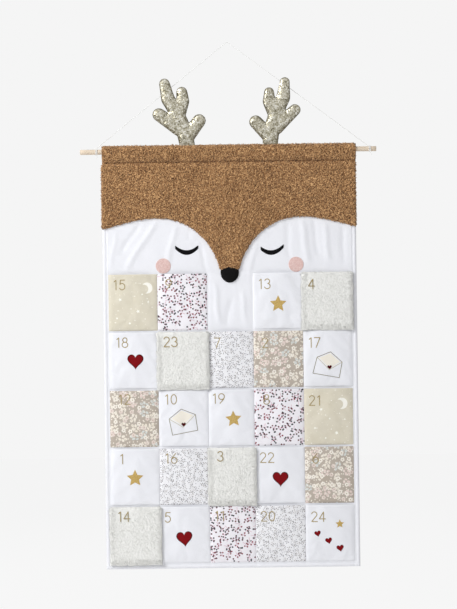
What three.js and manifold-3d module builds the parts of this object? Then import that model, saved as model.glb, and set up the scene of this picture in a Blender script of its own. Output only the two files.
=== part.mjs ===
// Fabric advent calendar with a deer's face: a padded wall hanging on a rod, with 24 pockets.
// Millimetres. X runs to the viewer's right, Y away from the viewer and Z up.
// The origin is the top of the hanging cord, where it goes over its nail.
import * as THREE from 'three';
import { mergeVertices } from 'three/addons/utils/BufferGeometryUtils.js';
import Module from 'manifold-3d';

const wasm = await Module();
wasm.setup();

// Fits
const seat = 0.3; // gap kept where one piece lies on another
const overrun = 2; // how far a cutting shape runs past the surface that it cuts
const weld = 0.0001; // points this near each other are one point

// Fineness of round shapes: quarters and whole turns in flat sides
const cornerSides = 2;
const cordSides = 8;
const tieSides = 6;
const tieSteps = 24; // in one turn round the rod
const tubeSides = 20;
const coverSides = 12; // round an antler's tine
const fillingSides = 8;

// Rod and cord
const rodRadius = 6;
const rodLength = 700;
const rodEdge = 0.8; // chamfer of the rod's ends
const rodDrop = 257; // rod's axis below the nail
const rodOut = 8; // rod's axis in front of the cord's top
const cordRadius = 0.6;
const tieLeft = 314; // where the cord is tied, left and right of the middle
const tieRight = 332;
const tieTurns = 2; // whole turns round the rod
const tieGap = 0.7; // between neighbouring turns
const tieTail = 14;
const knotRadius = 1.9;

// Panel
const panelWidth = 600;
const panelHeight = 1000;
const panelCorner = 7;
const panelOut = 5; // panel's middle plane in front of the cord's top
const frontCloth = 1;
const wadding = 4;
const backCloth = 1;
const rim = 1.6; // turned edge of the front and the back cloth
const frontGroove = 2.5; // front cloth's top edge below the stitched line
const hoodGroove = 5; // plush's top edge below the stitched line

// Tunnel for the rod
const rodPlay = 0.4;
const tunnelPlush = 4.6; // plush in front of the rod
const tunnelCrest = 6.6; // fold of plush over the rod's top
const tunnelLining = 1.2; // cloth behind the rod
const seamDrop = 26; // stitched line below the rod's axis
const seamHalf = 2; // half of the seam's thickness

// Plush hood: a band whose lower edge has two arches and, between them, the muzzle
const plush = 5;
const hoodSide = 196; // depth of the lower edge below the panel's top, at the side
const archDepth = 171;
const archOut = 172; // an arch's highest point, from the middle
const muzzleDepth = 294;
const muzzleHalf = 23;

// Face
const noseWidth = 44;
const noseHeight = 39;
const noseDrop = 12; // its centre below the muzzle's tip
const noseBulge = 8;
const noseBevel = 3;
const eyeWidth = 56;
const eyeSag = 20.5;
const eyeStroke = 10;
const eyeOut = 101;
const eyeDepth = 238; // the lid's two ends below the panel's top
const eyeThread = 1.2;
const cheekRadius = 18;
const cheekOut = 157;
const cheekDepth = 284;
const cheekCloth = 1;

// Pockets
const gridTop = 303; // first row's mouths below the panel's top
const gridSide = 14; // bare cloth beside the pockets
const gridFoot = 13.5; // bare cloth under the last row
const rowGap = 4;
const columnGap = 3;
const columnShares = [0.2014, 0.2049, 0.1874, 0.2049, 0.2014];
const pocketRoom = 6; // depth inside a pocket
const pocketWall = 1.2;
const cottonSkin = 1.2;
const cottonRound = 2;
const furSkin = 5;
const furRound = 4.5;
const pocketCorner = 5;

// Antlers
const antlerHeight = 158;
const antlerLeftOut = 96;
const antlerRightOut = 99.5;
const antlerY = -11.5; // middle plane of the antlers
const antlerGap = 0.5; // over the tunnel's top
const antlerFlatShare = 0.55; // thickness of a tine for its width
const antlerLeanDegrees = 4.2; // both to the viewer's left
const antlerCover = 1.1;
const antlerSeam = 1; // half the thickness of the sewn foot
const antlerSwell = 16; // height over which the foot swells to its full thickness

// Day numbers by row and column, with none where the nose hangs over bare cloth
const days = [
  ['15', '09', '', '13', '04'],
  ['18', '23', '07', '02', '17'],
  ['12', '10', '19', '08', '21'],
  ['01', '16', '03', '22', '06'],
  ['14', '05', '11', '20', '24'],
];
const furDays = ['04', '23', '03', '14'];
const sandDays = ['15', '21'];
const printDays = ['02', '12', '06'];

// Shares that shape the outlines, between the sizes above
const tunnelShares = { bulgeOut: 0.64, bulgeDown: 0.62 };
const noseShares = { shoulder: 0.36, brow: 0.1, crown: 0.72, jaw: 0.26, chin: 0.5 };
const hoodShares = {
  sideOut: 0.87,
  sideLow: 0.95,
  archLean: 0.72,
  archRun: 0.38,
  muzzleLean: 0.07,
  muzzleRise: 0.59,
};

// Worked out from the sizes above
const rodZ = -rodDrop;
const topRise = rodRadius + rodPlay + tunnelCrest; // panel's top edge over the rod's axis
const panelTop = rodZ + topRise;
const seamDepth = topRise + seamDrop;
const noseDepth = muzzleDepth + noseDrop;
const frontFace = wadding / 2 + seat + frontCloth; // from the panel's middle plane
const backFace = wadding / 2 + seat + backCloth;
const tieRadius = rodRadius + seat + cordRadius;

// Finishes
const finish = (color, roughness) => new THREE.MeshStandardMaterial({ color, roughness, metalness: 0 });
const wood = finish(0xe3d3bd, 0.6);
const string = finish(0xeeece6, 0.6);
const white = finish(0xf1f1f3, 0.9);
const filling = finish(0xf6f6f4, 1);
const brown = finish(0xa97c50, 1);
const cream = finish(0xe6e3da, 1);
const sand = finish(0xe0d6be, 0.9);
const taupe = finish(0xd2c3ab, 0.9);
const black = finish(0x17151a, 0.85);
const pink = finish(0xe8beb8, 0.9);
const gold = new THREE.MeshStandardMaterial({ color: 0xbcae8a, roughness: 0.4, metalness: 0.5 });

// Solids

function solidOf(geometry) {
  const bare = geometry.clone();
  bare.deleteAttribute('normal');
  bare.deleteAttribute('uv');
  const merged = mergeVertices(bare, weld);
  const index = merged.index.array;
  const triangles = [];
  for (let i = 0; i < index.length; i += 3) {
    const [a, b, c] = [index[i], index[i + 1], index[i + 2]];
    if (a !== b && b !== c && c !== a) triangles.push(a, b, c);
  }
  const vertProperties = new Float32Array(merged.attributes.position.array);
  const triVerts = new Uint32Array(triangles);
  return new wasm.Manifold(new wasm.Mesh({ numProp: 3, vertProperties, triVerts }));
}

function geometryOf(solid) {
  const { vertProperties, triVerts } = solid.getMesh();
  const geometry = new THREE.BufferGeometry();
  geometry.setAttribute('position', new THREE.BufferAttribute(vertProperties, 3));
  geometry.setIndex(new THREE.BufferAttribute(triVerts, 1));
  geometry.computeVertexNormals();
  return geometry;
}

function box(width, depth, height, x, y, z) {
  return new THREE.BoxGeometry(width, depth, height).translate(x, y, z);
}

// An outline drawn as the viewer sees it, made solid from y = back forwards by the thickness.
function sheet(outline, thickness, back, options = {}) {
  const settings = { depth: thickness, bevelEnabled: false, curveSegments: cornerSides, ...options };
  return new THREE.ExtrudeGeometry(outline, settings).rotateX(Math.PI / 2).translate(0, back, 0);
}

// A rectangle with rounded corners: its middle at x, its top edge at z = top.
function roundedRectangle(width, height, corner, x, top) {
  const [left, right, low] = [x - width / 2, x + width / 2, top - height];
  const shape = new THREE.Shape();
  shape.moveTo(left + corner, low);
  shape.absarc(right - corner, low + corner, corner, -Math.PI / 2, 0);
  shape.absarc(right - corner, top - corner, corner, 0, Math.PI / 2);
  shape.absarc(left + corner, top - corner, corner, Math.PI / 2, Math.PI);
  shape.absarc(left + corner, low + corner, corner, Math.PI, 1.5 * Math.PI);
  return shape;
}

function named(name, geometry, material) {
  const mesh = new THREE.Mesh(geometry, material);
  mesh.name = name;
  return mesh;
}

// Turns a section drawn in Y and Z, and extruded, so that it runs along X.
function alongX(geometry) {
  const [y, z, x] = [new THREE.Vector3(0, 1, 0), new THREE.Vector3(0, 0, 1), new THREE.Vector3(1, 0, 0)];
  return geometry.applyMatrix4(new THREE.Matrix4().makeBasis(y, z, x));
}

// Rod, along X
function rod() {
  const half = rodLength / 2;
  const profile = [
    [0, -half],
    [rodRadius - rodEdge, -half],
    [rodRadius, -half + rodEdge],
    [rodRadius, half - rodEdge],
    [rodRadius - rodEdge, half],
    [0, half],
  ].map(([r, h]) => new THREE.Vector2(r, h));
  const mesh = named('rod', new THREE.LatheGeometry(profile, tubeSides), wood);
  mesh.rotation.z = -Math.PI / 2;
  mesh.position.set(0, -rodOut, rodZ);
  return mesh;
}

// Cord from the left knot over the nail to the right knot, its points chosen by hand
const cordRoute = [
  [-312.3, -3.9, -248.5],
  [-280, -3.5, -222.7],
  [-240, -3, -190.8],
  [-200, -2.5, -158.9],
  [-160, -2, -126.9],
  [-120, -1.5, -95],
  [-80, -1, -63],
  [-40, -0.5, -31.2],
  [-16, -0.2, -11.95],
  [-6, -0.05, -3.96],
  [-3, 0, -1.56],
  [-1.86, 0, -0.66],
  [0, 0, 0],
  [1.8, 0, -0.6],
  [3, 0, -1.51],
  [6, -0.05, -3.78],
  [16, -0.2, -11.32],
  [40, -0.5, -29.4],
  [80, -1, -59.7],
  [120, -1.4, -89.8],
  [160, -1.9, -120.1],
  [200, -2.4, -150.2],
  [240, -2.9, -180.5],
  [285, -3.4, -214.4],
  [330.2, -3.9, -248.5],
];

// The tube's rings keep to the route's points, which lie closer together over the nail.
class CordCurve extends THREE.CatmullRomCurve3 {
  getUtoTmapping(u) {
    return u;
  }
}

// A circle has twice as many sides as its curve has segments.
function circle(radius) {
  return new THREE.Shape().absarc(0, 0, radius, 0, 2 * Math.PI);
}

function cord() {
  const curve = new CordCurve(cordRoute.map((p) => new THREE.Vector3(...p)), false, 'centripetal');
  const settings = { extrudePath: curve, steps: 3 * (cordRoute.length - 1), curveSegments: cordSides / 2 };
  return named('cord', new THREE.ExtrudeGeometry(circle(cordRadius), settings), string);
}

// A tie starts in the knot behind the rod, winds over the top and ends in a tail at the front.
const knotAngle = Math.PI / 3;
const tieAngle = 2 * Math.PI * tieTurns + Math.PI - knotAngle;
const tiePitch = 2 * cordRadius + tieGap;

class TieCurve extends THREE.Curve {
  getPoint(t, target = new THREE.Vector3()) {
    const wound = tieRadius * tieAngle;
    const along = t * (wound + tieTail);
    const angle = Math.min(along, wound) / tieRadius;
    const x = (angle / (2 * Math.PI)) * tiePitch;
    const y = tieRadius * Math.cos(knotAngle + angle);
    const z = tieRadius * Math.sin(knotAngle + angle) - Math.max(along - wound, 0);
    return target.set(x, y, z);
  }
}

// The least gap between two stretches of a wound tube, measured on points of its middle line
function leastGap(curve, count, radius) {
  const points = curve.getSpacedPoints(count);
  const step = curve.getLength() / count;
  let least = Infinity;
  for (let i = 0; i < count; i += 1) {
    for (let j = i + Math.ceil((4 * radius) / step); j <= count; j += 1) {
      least = Math.min(least, points[i].distanceTo(points[j]) - 2 * radius);
    }
  }
  return least;
}

function tie(name, x) {
  const curve = new TieCurve();
  const wound = tieRadius * tieAngle;
  const steps = Math.round((tieSteps * tieAngle * (wound + tieTail)) / (2 * Math.PI * wound));
  const settings = { extrudePath: curve, steps, curveSegments: tieSides / 2 };
  const tube = solidOf(new THREE.ExtrudeGeometry(circle(cordRadius), settings));
  const reach = rodRadius + seat + knotRadius;
  const knot = new THREE.SphereGeometry(knotRadius, 10, 7);
  knot.translate(0, reach * Math.cos(knotAngle), reach * Math.sin(knotAngle));
  const mesh = named(name, geometryOf(tube.add(solidOf(knot))), string);
  mesh.position.set(x, -rodOut, rodZ);
  console.log(`${name}: least gap between turns ${leastGap(curve, 400, cordRadius).toFixed(2)} mm`);
  return mesh;
}

// The tunnel's section, front to the left, round the rod's axis: thick over the rod, thin at the seam
function rodTunnel() {
  const front = rodRadius + rodPlay + tunnelPlush;
  const behind = rodRadius + rodPlay + tunnelLining;
  const seamY = rodOut - panelOut;
  const seamZ = seat / 2 - seamDrop;
  const shape = new THREE.Shape();
  shape.moveTo(-front, 0);
  const bulgeZ = seamZ * tunnelShares.bulgeDown;
  shape.quadraticCurveTo(-front * tunnelShares.bulgeOut, bulgeZ, seamY - seamHalf, seamZ);
  shape.lineTo(seamY + seamHalf, seamZ);
  shape.quadraticCurveTo(behind, bulgeZ, behind, 0);
  shape.absellipse((behind - front) / 2, 0, (behind + front) / 2, topRise, 0, Math.PI);
  shape.holes.push(new THREE.Path().absarc(0, 0, rodRadius + rodPlay, 0, 2 * Math.PI));
  const settings = { depth: panelWidth, bevelEnabled: false, curveSegments: tubeSides / 2 };
  const mesh = named('rod_tunnel', alongX(new THREE.ExtrudeGeometry(shape, settings)), brown);
  mesh.position.set(-panelWidth / 2, -rodOut, rodZ);
  return mesh;
}

// Panel layers. Z is measured down from the panel's top edge, Y from its middle plane.

// A cloth whose edges are turned in round the wadding: a shallow tray, open towards the other cloth
function turnedCloth(name, top, face, cloth, isBack) {
  const height = panelHeight - top;
  const deep = face - seat / 2;
  const outside = roundedRectangle(panelWidth, height, panelCorner, 0, -top);
  const whole = sheet(outside, deep, isBack ? face : -seat / 2);
  const inside = roundedRectangle(panelWidth - 2 * rim, height - 2 * rim, panelCorner, 0, -top - rim);
  const hollow = sheet(inside, face - cloth + overrun, isBack ? face - cloth : overrun);
  return named(name, geometryOf(solidOf(whole).subtract(solidOf(hollow))), white);
}

function waddingLayer() {
  const inset = rim + seat;
  const top = seamDepth + frontGroove + inset;
  const height = panelHeight - top - inset;
  const outline = roundedRectangle(panelWidth - 2 * inset, height, panelCorner, 0, -top);
  return named('wadding', sheet(outline, wadding, wadding / 2), filling);
}

function noseOutline(grow) {
  const half = noseWidth / 2 + grow;
  const high = noseHeight / 2 - noseDepth + grow;
  const low = -noseHeight / 2 - noseDepth - grow;
  const shoulder = high - noseHeight * noseShares.shoulder;
  const brow = high - noseHeight * noseShares.brow;
  const jaw = low + noseHeight * noseShares.jaw;
  const crown = half * noseShares.crown;
  const chin = half * noseShares.chin;
  const shape = new THREE.Shape();
  shape.moveTo(0, high);
  shape.bezierCurveTo(crown, high, half, brow, half, shoulder);
  shape.bezierCurveTo(half, jaw, chin, low, 0, low);
  shape.bezierCurveTo(-chin, low, -half, jaw, -half, shoulder);
  shape.bezierCurveTo(-half, brow, -crown, high, 0, high);
  return shape;
}

function hoodOutline() {
  const side = panelWidth / 2;
  const top = -seamDepth - hoodGroove;
  const lean = muzzleHalf + (archOut - muzzleHalf) * hoodShares.muzzleLean;
  const rise = -archDepth - (muzzleDepth - archDepth) * hoodShares.muzzleRise;
  const inner = muzzleHalf + (archOut - muzzleHalf) * hoodShares.archRun;
  const outer = side * hoodShares.archLean;
  const shape = new THREE.Shape();
  shape.moveTo(-side, top);
  shape.lineTo(-side, -hoodSide);
  shape.bezierCurveTo(-side * hoodShares.sideOut, -hoodSide * hoodShares.sideLow, -outer, -archDepth,
    -archOut, -archDepth);
  shape.bezierCurveTo(-inner, -archDepth, -lean, rise, -muzzleHalf, -muzzleDepth);
  shape.lineTo(muzzleHalf, -muzzleDepth);
  shape.bezierCurveTo(lean, rise, inner, -archDepth, archOut, -archDepth);
  shape.bezierCurveTo(outer, -archDepth, side * hoodShares.sideOut, -hoodSide * hoodShares.sideLow,
    side, -hoodSide);
  shape.lineTo(side, top);
  return shape;
}

function plushHood() {
  const back = -frontFace - seat;
  const band = solidOf(sheet(hoodOutline(), plush, back, { curveSegments: 10 }));
  const hole = solidOf(sheet(noseOutline(seat), plush + 2 * overrun, back + overrun, { curveSegments: 5 }));
  return named('plush_hood', geometryOf(band.subtract(hole)), brown);
}

function nose() {
  const back = -frontFace - seat;
  const settings = {
    bevelEnabled: true,
    bevelThickness: noseBevel,
    bevelSize: noseBevel,
    bevelOffset: -noseBevel,
    bevelSegments: 2,
    curveSegments: 5,
  };
  const depth = noseBulge - noseBevel;
  const puffed = solidOf(sheet(noseOutline(0), depth, back, settings));
  const [width, height] = [noseWidth + overrun, noseHeight + overrun];
  const slab = box(width, noseBulge, height, 0, back - noseBulge / 2, -noseDepth);
  return named('nose', geometryOf(puffed.intersect(solidOf(slab))), black);
}

function eye(name, x) {
  const half = eyeWidth / 2;
  const shape = new THREE.Shape();
  shape.moveTo(x - half, -eyeDepth);
  shape.quadraticCurveTo(x, -eyeDepth - 2 * eyeSag, x + half, -eyeDepth);
  shape.quadraticCurveTo(x, -eyeDepth - 2 * (eyeSag - eyeStroke), x - half, -eyeDepth);
  return named(name, sheet(shape, eyeThread, -frontFace - seat, { curveSegments: 12 }), black);
}

function cheek(name, x) {
  const shape = new THREE.Shape().absarc(x, -cheekDepth, cheekRadius, 0, 2 * Math.PI);
  return named(name, sheet(shape, cheekCloth, -frontFace - seat, { curveSegments: tubeSides / 2 }), pink);
}

// Pockets: pouches that are open at the top, with the panel's front cloth as their back
function pocket(name, width, height, skin, round, material) {
  const depth = pocketRoom + skin;
  const settings = {
    bevelEnabled: true,
    bevelThickness: round,
    bevelSize: round,
    bevelOffset: -round,
    bevelSegments: 2,
    curveSegments: 1,
  };
  const outline = roundedRectangle(width, height, pocketCorner, 0, height);
  const puffed = solidOf(sheet(outline, depth - round, 0, settings));
  const slab = box(width + overrun, depth, height + overrun, 0, -depth / 2, height / 2);
  const roomHeight = height - pocketWall + overrun;
  const room = box(width - 2 * pocketWall, pocketRoom + overrun, roomHeight,
    0, (overrun - pocketRoom) / 2, pocketWall + roomHeight / 2);
  const pouch = puffed.intersect(solidOf(slab)).subtract(solidOf(room));
  return named(name, geometryOf(pouch), material);
}

function pocketLook(day) {
  if (furDays.includes(day)) return { skin: furSkin, round: furRound, material: cream };
  if (sandDays.includes(day)) return { skin: cottonSkin, round: cottonRound, material: sand };
  if (printDays.includes(day)) return { skin: cottonSkin, round: cottonRound, material: taupe };
  return { skin: cottonSkin, round: cottonRound, material: white };
}

function pockets() {
  const group = new THREE.Group();
  const rows = days.length;
  const clothWidth = panelWidth - 2 * gridSide - (columnShares.length - 1) * columnGap;
  const height = (panelHeight - gridTop - gridFoot - (rows - 1) * rowGap) / rows;
  days.forEach((row, i) => {
    let left = -panelWidth / 2 + gridSide;
    row.forEach((day, j) => {
      const width = clothWidth * columnShares[j];
      if (day) {
        const { skin, round, material } = pocketLook(day);
        const mesh = pocket(`pocket_${day}`, width, height, skin, round, material);
        mesh.position.set(left + width / 2, -frontFace - seat, -gridTop - height - i * (height + rowGap));
        group.add(mesh);
      }
      left += width + columnGap;
    });
  });
  return group;
}

// Antlers, as shares of their height: places of the joints of the tines, outwards and up, and radii
const jointShares = {
  foot: [0, 0, 0.1],
  neck: [0.028, 0.194, 0.106],
  fork: [0.102, 0.445, 0.1],
  outerMiddle: [0.237, 0.7, 0.092],
  outerTip: [0.273, 0.925, 0.067],
  innerMiddle: [0.021, 0.654, 0.088],
  innerTip: [0.027, 0.785, 0.069],
  sideFoot: [0.108, 0.254, 0.095],
  sideTip: [0.4, 0.498, 0.088],
  spurFoot: [0.003, 0.115, 0.095],
  spurTip: [-0.198, 0.35, 0.085],
};
const limbs = [
  ['foot', 'neck'],
  ['neck', 'fork'],
  ['fork', 'outerMiddle'],
  ['outerMiddle', 'outerTip'],
  ['fork', 'innerMiddle'],
  ['innerMiddle', 'innerTip'],
  ['sideFoot', 'sideTip'],
  ['spurFoot', 'spurTip'],
];

// A limb with round ends, from one joint to the next, flattened front to back
function limb(a, b, inset, sides) {
  const [ra, rb] = [a.radius - inset, b.radius - inset];
  const along = new THREE.Vector3().subVectors(b.place, a.place);
  const length = along.length();
  const bends = Math.round(sides / 4);
  const profile = [];
  for (let i = 0; i <= bends; i += 1) {
    const angle = (i / bends - 1) * (Math.PI / 2);
    profile.push(new THREE.Vector2(ra * Math.cos(angle), ra * Math.sin(angle)));
  }
  for (let i = 0; i <= bends; i += 1) {
    const angle = (i / bends) * (Math.PI / 2);
    profile.push(new THREE.Vector2(rb * Math.cos(angle), length + rb * Math.sin(angle)));
  }
  profile[0].x = 0;
  profile[profile.length - 1].x = 0;
  along.normalize();
  const across = new THREE.Vector3(along.z, 0, -along.x);
  const forward = new THREE.Vector3(0, -antlerFlatShare, 0);
  const matrix = new THREE.Matrix4().makeBasis(across, along, forward).setPosition(a.place);
  return solidOf(new THREE.LatheGeometry(profile, sides).applyMatrix4(matrix));
}

// What narrows an antler to its flat sewn foot: a prism along X whose section widens upwards
function footPrism(inset, low) {
  const foot = antlerSeam - inset * antlerFlatShare;
  const half = (z) => foot + antlerFlatShare * Math.max(z - antlerGap, 0);
  const swollen = antlerGap + antlerSwell;
  const heights = low < antlerGap ? [low, antlerGap, swollen] : [low, swollen];
  const right = heights.map((z) => new THREE.Vector2(half(z), z));
  right.push(new THREE.Vector2(half(swollen), antlerHeight + antlerSwell));
  const left = right.map((p) => new THREE.Vector2(-p.x, p.y)).reverse();
  const settings = { depth: 2 * antlerHeight, bevelEnabled: false };
  const prism = new THREE.ExtrudeGeometry(new THREE.Shape([...right, ...left]), settings);
  return solidOf(alongX(prism).translate(-antlerHeight, 0, 0));
}

// All limbs of one antler, thinner than its outside by the inset, over a foot at z = low
function antlerBody(side, inset, low, sides) {
  const lean = THREE.MathUtils.degToRad(antlerLeanDegrees);
  const joints = {};
  for (const [key, [x, z, radius]] of Object.entries(jointShares)) {
    const place = new THREE.Vector3(side * x, 0, z).multiplyScalar(antlerHeight);
    place.applyAxisAngle(new THREE.Vector3(0, 1, 0), -lean);
    joints[key] = { place, radius: radius * antlerHeight };
  }
  const solids = limbs.map(([from, to]) => limb(joints[from], joints[to], inset, sides));
  return solids.reduce((sum, each) => sum.add(each)).intersect(footPrism(inset, low));
}

function antler(name, side, out) {
  const group = new THREE.Group();
  const outside = antlerBody(side, 0, antlerGap, coverSides);
  const room = antlerBody(side, antlerCover, antlerGap - overrun, fillingSides);
  const stuffing = antlerBody(side, antlerCover + seat, antlerGap + overrun, fillingSides);
  group.add(named(`${name}_cover`, geometryOf(outside.subtract(room)), gold));
  group.add(named(`${name}_filling`, geometryOf(stuffing), filling));
  group.position.set(side * out, antlerY, panelTop);
  return group;
}

const calendar = new THREE.Group();
calendar.add(rod(), cord(), tie('cord_tie_left', -tieLeft), tie('cord_tie_right', tieRight), rodTunnel());

const panel = new THREE.Group();
panel.position.set(0, -panelOut, panelTop);
panel.add(turnedCloth('back_lining', seamDepth + seat / 2, backFace, backCloth, true));
panel.add(turnedCloth('front_cloth', seamDepth + frontGroove, frontFace, frontCloth, false));
panel.add(waddingLayer(), plushHood(), nose());
panel.add(eye('eye_left', -eyeOut), eye('eye_right', eyeOut));
panel.add(cheek('cheek_left', -cheekOut), cheek('cheek_right', cheekOut));
panel.add(pockets());
calendar.add(panel);
calendar.add(antler('antler_left', -1, antlerLeftOut), antler('antler_right', 1, antlerRightOut));

export default calendar;
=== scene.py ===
"""Looks of the fabric advent calendar: its cloths, plush, fur, prints, antlers, cord, camera and light.

Places and sizes are in millimetres, in the part's own frame: X to the viewer's right, Y away from
the viewer and Z up, from the top of the hanging cord. Meshes are made in metres.
"""

import math
import random

import bmesh
import bpy
import numpy as np
from mathutils import Matrix, Vector, noise


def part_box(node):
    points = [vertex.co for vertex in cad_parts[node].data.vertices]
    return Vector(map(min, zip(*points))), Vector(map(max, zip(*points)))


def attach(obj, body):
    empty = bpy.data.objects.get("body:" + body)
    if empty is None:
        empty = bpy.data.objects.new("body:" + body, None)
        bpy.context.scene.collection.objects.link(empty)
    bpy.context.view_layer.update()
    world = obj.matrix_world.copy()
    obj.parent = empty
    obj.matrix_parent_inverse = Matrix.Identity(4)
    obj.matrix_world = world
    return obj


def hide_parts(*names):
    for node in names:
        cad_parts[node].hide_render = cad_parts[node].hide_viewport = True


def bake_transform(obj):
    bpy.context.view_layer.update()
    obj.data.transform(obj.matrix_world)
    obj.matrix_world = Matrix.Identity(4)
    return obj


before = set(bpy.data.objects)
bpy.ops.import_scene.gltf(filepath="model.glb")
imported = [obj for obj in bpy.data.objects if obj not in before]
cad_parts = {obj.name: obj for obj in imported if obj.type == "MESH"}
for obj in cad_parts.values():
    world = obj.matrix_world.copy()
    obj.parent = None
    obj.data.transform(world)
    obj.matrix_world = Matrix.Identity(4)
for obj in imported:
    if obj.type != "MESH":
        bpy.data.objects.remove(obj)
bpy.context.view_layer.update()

METRES = 0.001


def box_of(node):
    """Lowest and highest corner of a CAD node, in millimetres."""
    low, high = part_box(node)
    return np.array(low) / METRES, np.array(high) / METRES


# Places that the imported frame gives
ROD_LOW, ROD_HIGH = box_of("rod")
TUNNEL_LOW, TUNNEL_HIGH = box_of("rod_tunnel")
FRONT_LOW, FRONT_HIGH = box_of("front_cloth")
BACK_LOW, BACK_HIGH = box_of("back_lining")
WADDING_LOW, WADDING_HIGH = box_of("wadding")
NOSE_LOW, NOSE_HIGH = box_of("nose")

TUNNEL_Y = (TUNNEL_LOW[1] + TUNNEL_HIGH[1]) / 2
TUNNEL_HALF = (TUNNEL_HIGH[1] - TUNNEL_LOW[1]) / 2
ROD_RADIUS = (ROD_HIGH[2] - ROD_LOW[2]) / 2
ROD_Y = (ROD_LOW[1] + ROD_HIGH[1]) / 2
ROD_Z = (ROD_LOW[2] + ROD_HIGH[2]) / 2
HALF_WIDTH = FRONT_HIGH[0]
FRONT_Y = FRONT_LOW[1]
BACK_Y = BACK_HIGH[1]
SEAM_Y = (FRONT_HIGH[1] + BACK_LOW[1]) / 2
SEAM_Z = TUNNEL_LOW[2]
TOP_Z = TUNNEL_HIGH[2]
FOOT_Z = FRONT_LOW[2]
GAP = 0.3
OUTSIDE_Y = FRONT_Y - GAP
FRONT_SEAM_Y, BACK_SEAM_Y = SEAM_Y - GAP / 2, SEAM_Y + GAP / 2
# where the panel bends under the rod, and how far round the rod its cloths reach behind, in degrees
BACK_SEAM_ANGLE = 125

# Camera, from the photograph: its size in pixels, the cord's top, the scale and the roll
PHOTO_WIDTH, PHOTO_HEIGHT = 457, 609
APEX_PX = (226.7, 41.8)
MM_PER_PX = 2.364
ROLL = math.radians(0.75)
CAMERA_DISTANCE = 4500.0
CAMERA_REACH = 100.0
SENSOR = 36.0


def photo_camera():
    """A camera square to the panel, rolled as the photograph is."""
    across = PHOTO_WIDTH / 2 - APEX_PX[0]
    down = PHOTO_HEIGHT / 2 - APEX_PX[1]
    x = (across * math.cos(ROLL) - down * math.sin(ROLL)) * MM_PER_PX
    z = -(across * math.sin(ROLL) + down * math.cos(ROLL)) * MM_PER_PX
    data = bpy.data.cameras.new("camera")
    data.sensor_width = SENSOR
    data.lens = SENSOR * CAMERA_DISTANCE / (PHOTO_HEIGHT * MM_PER_PX)
    data.clip_end = CAMERA_REACH
    camera = bpy.data.objects.new("camera", data)
    bpy.context.scene.collection.objects.link(camera)
    place = Matrix.Translation(Vector((x, OUTSIDE_Y - CAMERA_DISTANCE, z)) * METRES)
    camera.matrix_world = place @ Matrix.Rotation(math.pi / 2, 4, "X") @ Matrix.Rotation(-ROLL, 4, "Z")
    bpy.context.scene.camera = camera


photo_camera()


# Meshes

ASKEW = (0.3, 0.5, 0.81)
NOISE_STEP = 7.3


def link(name, data):
    """A new object in the scene with that data."""
    piece = bpy.data.objects.new(name, data)
    bpy.context.scene.collection.objects.link(piece)
    return piece


def piece_of(name, points, faces, smooth=True):
    """A mesh object from points in millimetres, with the points kept as its rest attribute."""
    points = np.asarray(points, float).reshape(-1, 3)
    mesh = bpy.data.meshes.new(name)
    mesh.from_pydata((points * METRES).tolist(), [], faces)
    mesh.update()
    if smooth:
        mesh.shade_smooth()
    keep_rest(mesh)
    return link(name, mesh)


def vertex_values(mesh, name):
    """The mesh's places or normals, a row for each point."""
    values = np.empty(len(mesh.vertices) * 3, np.float32)
    mesh.vertices.foreach_get(name, values)
    return values.reshape(-1, 3)


def keep_rest(mesh):
    """Stores where each point is at rest, in millimetres, for the materials' patterns."""
    rest = mesh.attributes.get("rest") or mesh.attributes.new("rest", "FLOAT_VECTOR", "POINT")
    rest.data.foreach_set("vector", (vertex_values(mesh, "co") / METRES).ravel())


def store(piece, name, values):
    """Keeps one number a point, such as the height of the pile there."""
    attribute = piece.data.attributes.new(name, "FLOAT", "POINT")
    attribute.data.foreach_set("value", np.asarray(values, np.float32).ravel())


def store_outside(piece, name, values, inside):
    """The same for a closed cloth: the values over its outside, and one for all of its inside."""
    few = len(piece.data.vertices) - values.size
    store(piece, name, np.concatenate([values.ravel(), np.full(few, inside)]))


def points_of(piece):
    """The piece's points in millimetres, a row for each."""
    return vertex_values(piece.data, "co").astype(float) / METRES


def move_points(piece, points):
    """Puts the piece's points at places in millimetres."""
    piece.data.vertices.foreach_set("co", (np.asarray(points) * METRES).astype(np.float32).ravel())
    piece.data.update()


def spread(xs, zs):
    """A flat grid's x and z from the places of its columns and rows."""
    return np.meshgrid(xs, zs, indexing="ij")


def layer(x, y, z):
    """A grid of points from its x, y and z."""
    return np.stack(np.broadcast_arrays(x, y, z), axis=2)


def run_of(path):
    """How far along a path each of its points lies."""
    steps = np.linalg.norm(np.diff(np.asarray(path, float), axis=0), axis=1)
    return np.concatenate([[0], np.cumsum(steps)])


def normals_of(grid):
    """Unit normals of a grid of points, out of the side from which X runs right and rows run up."""
    along = np.gradient(grid, axis=0)
    up = np.gradient(grid, axis=1)
    normal = np.cross(along, up)
    return normal / np.maximum(np.linalg.norm(normal, axis=2, keepdims=True), 1e-9)


def grid_faces(columns, rows, start=0, flip=False):
    """The four-sided faces of a grid of points, whose first point has the index start."""
    index = start + np.arange(columns * rows).reshape(columns, rows)
    a, b = index[:-1, :-1].ravel(), index[1:, :-1].ravel()
    c, d = index[1:, 1:].ravel(), index[:-1, 1:].ravel()
    order = (a, d, c, b) if flip else (a, b, c, d)
    return np.stack(order, axis=1).tolist()


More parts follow.
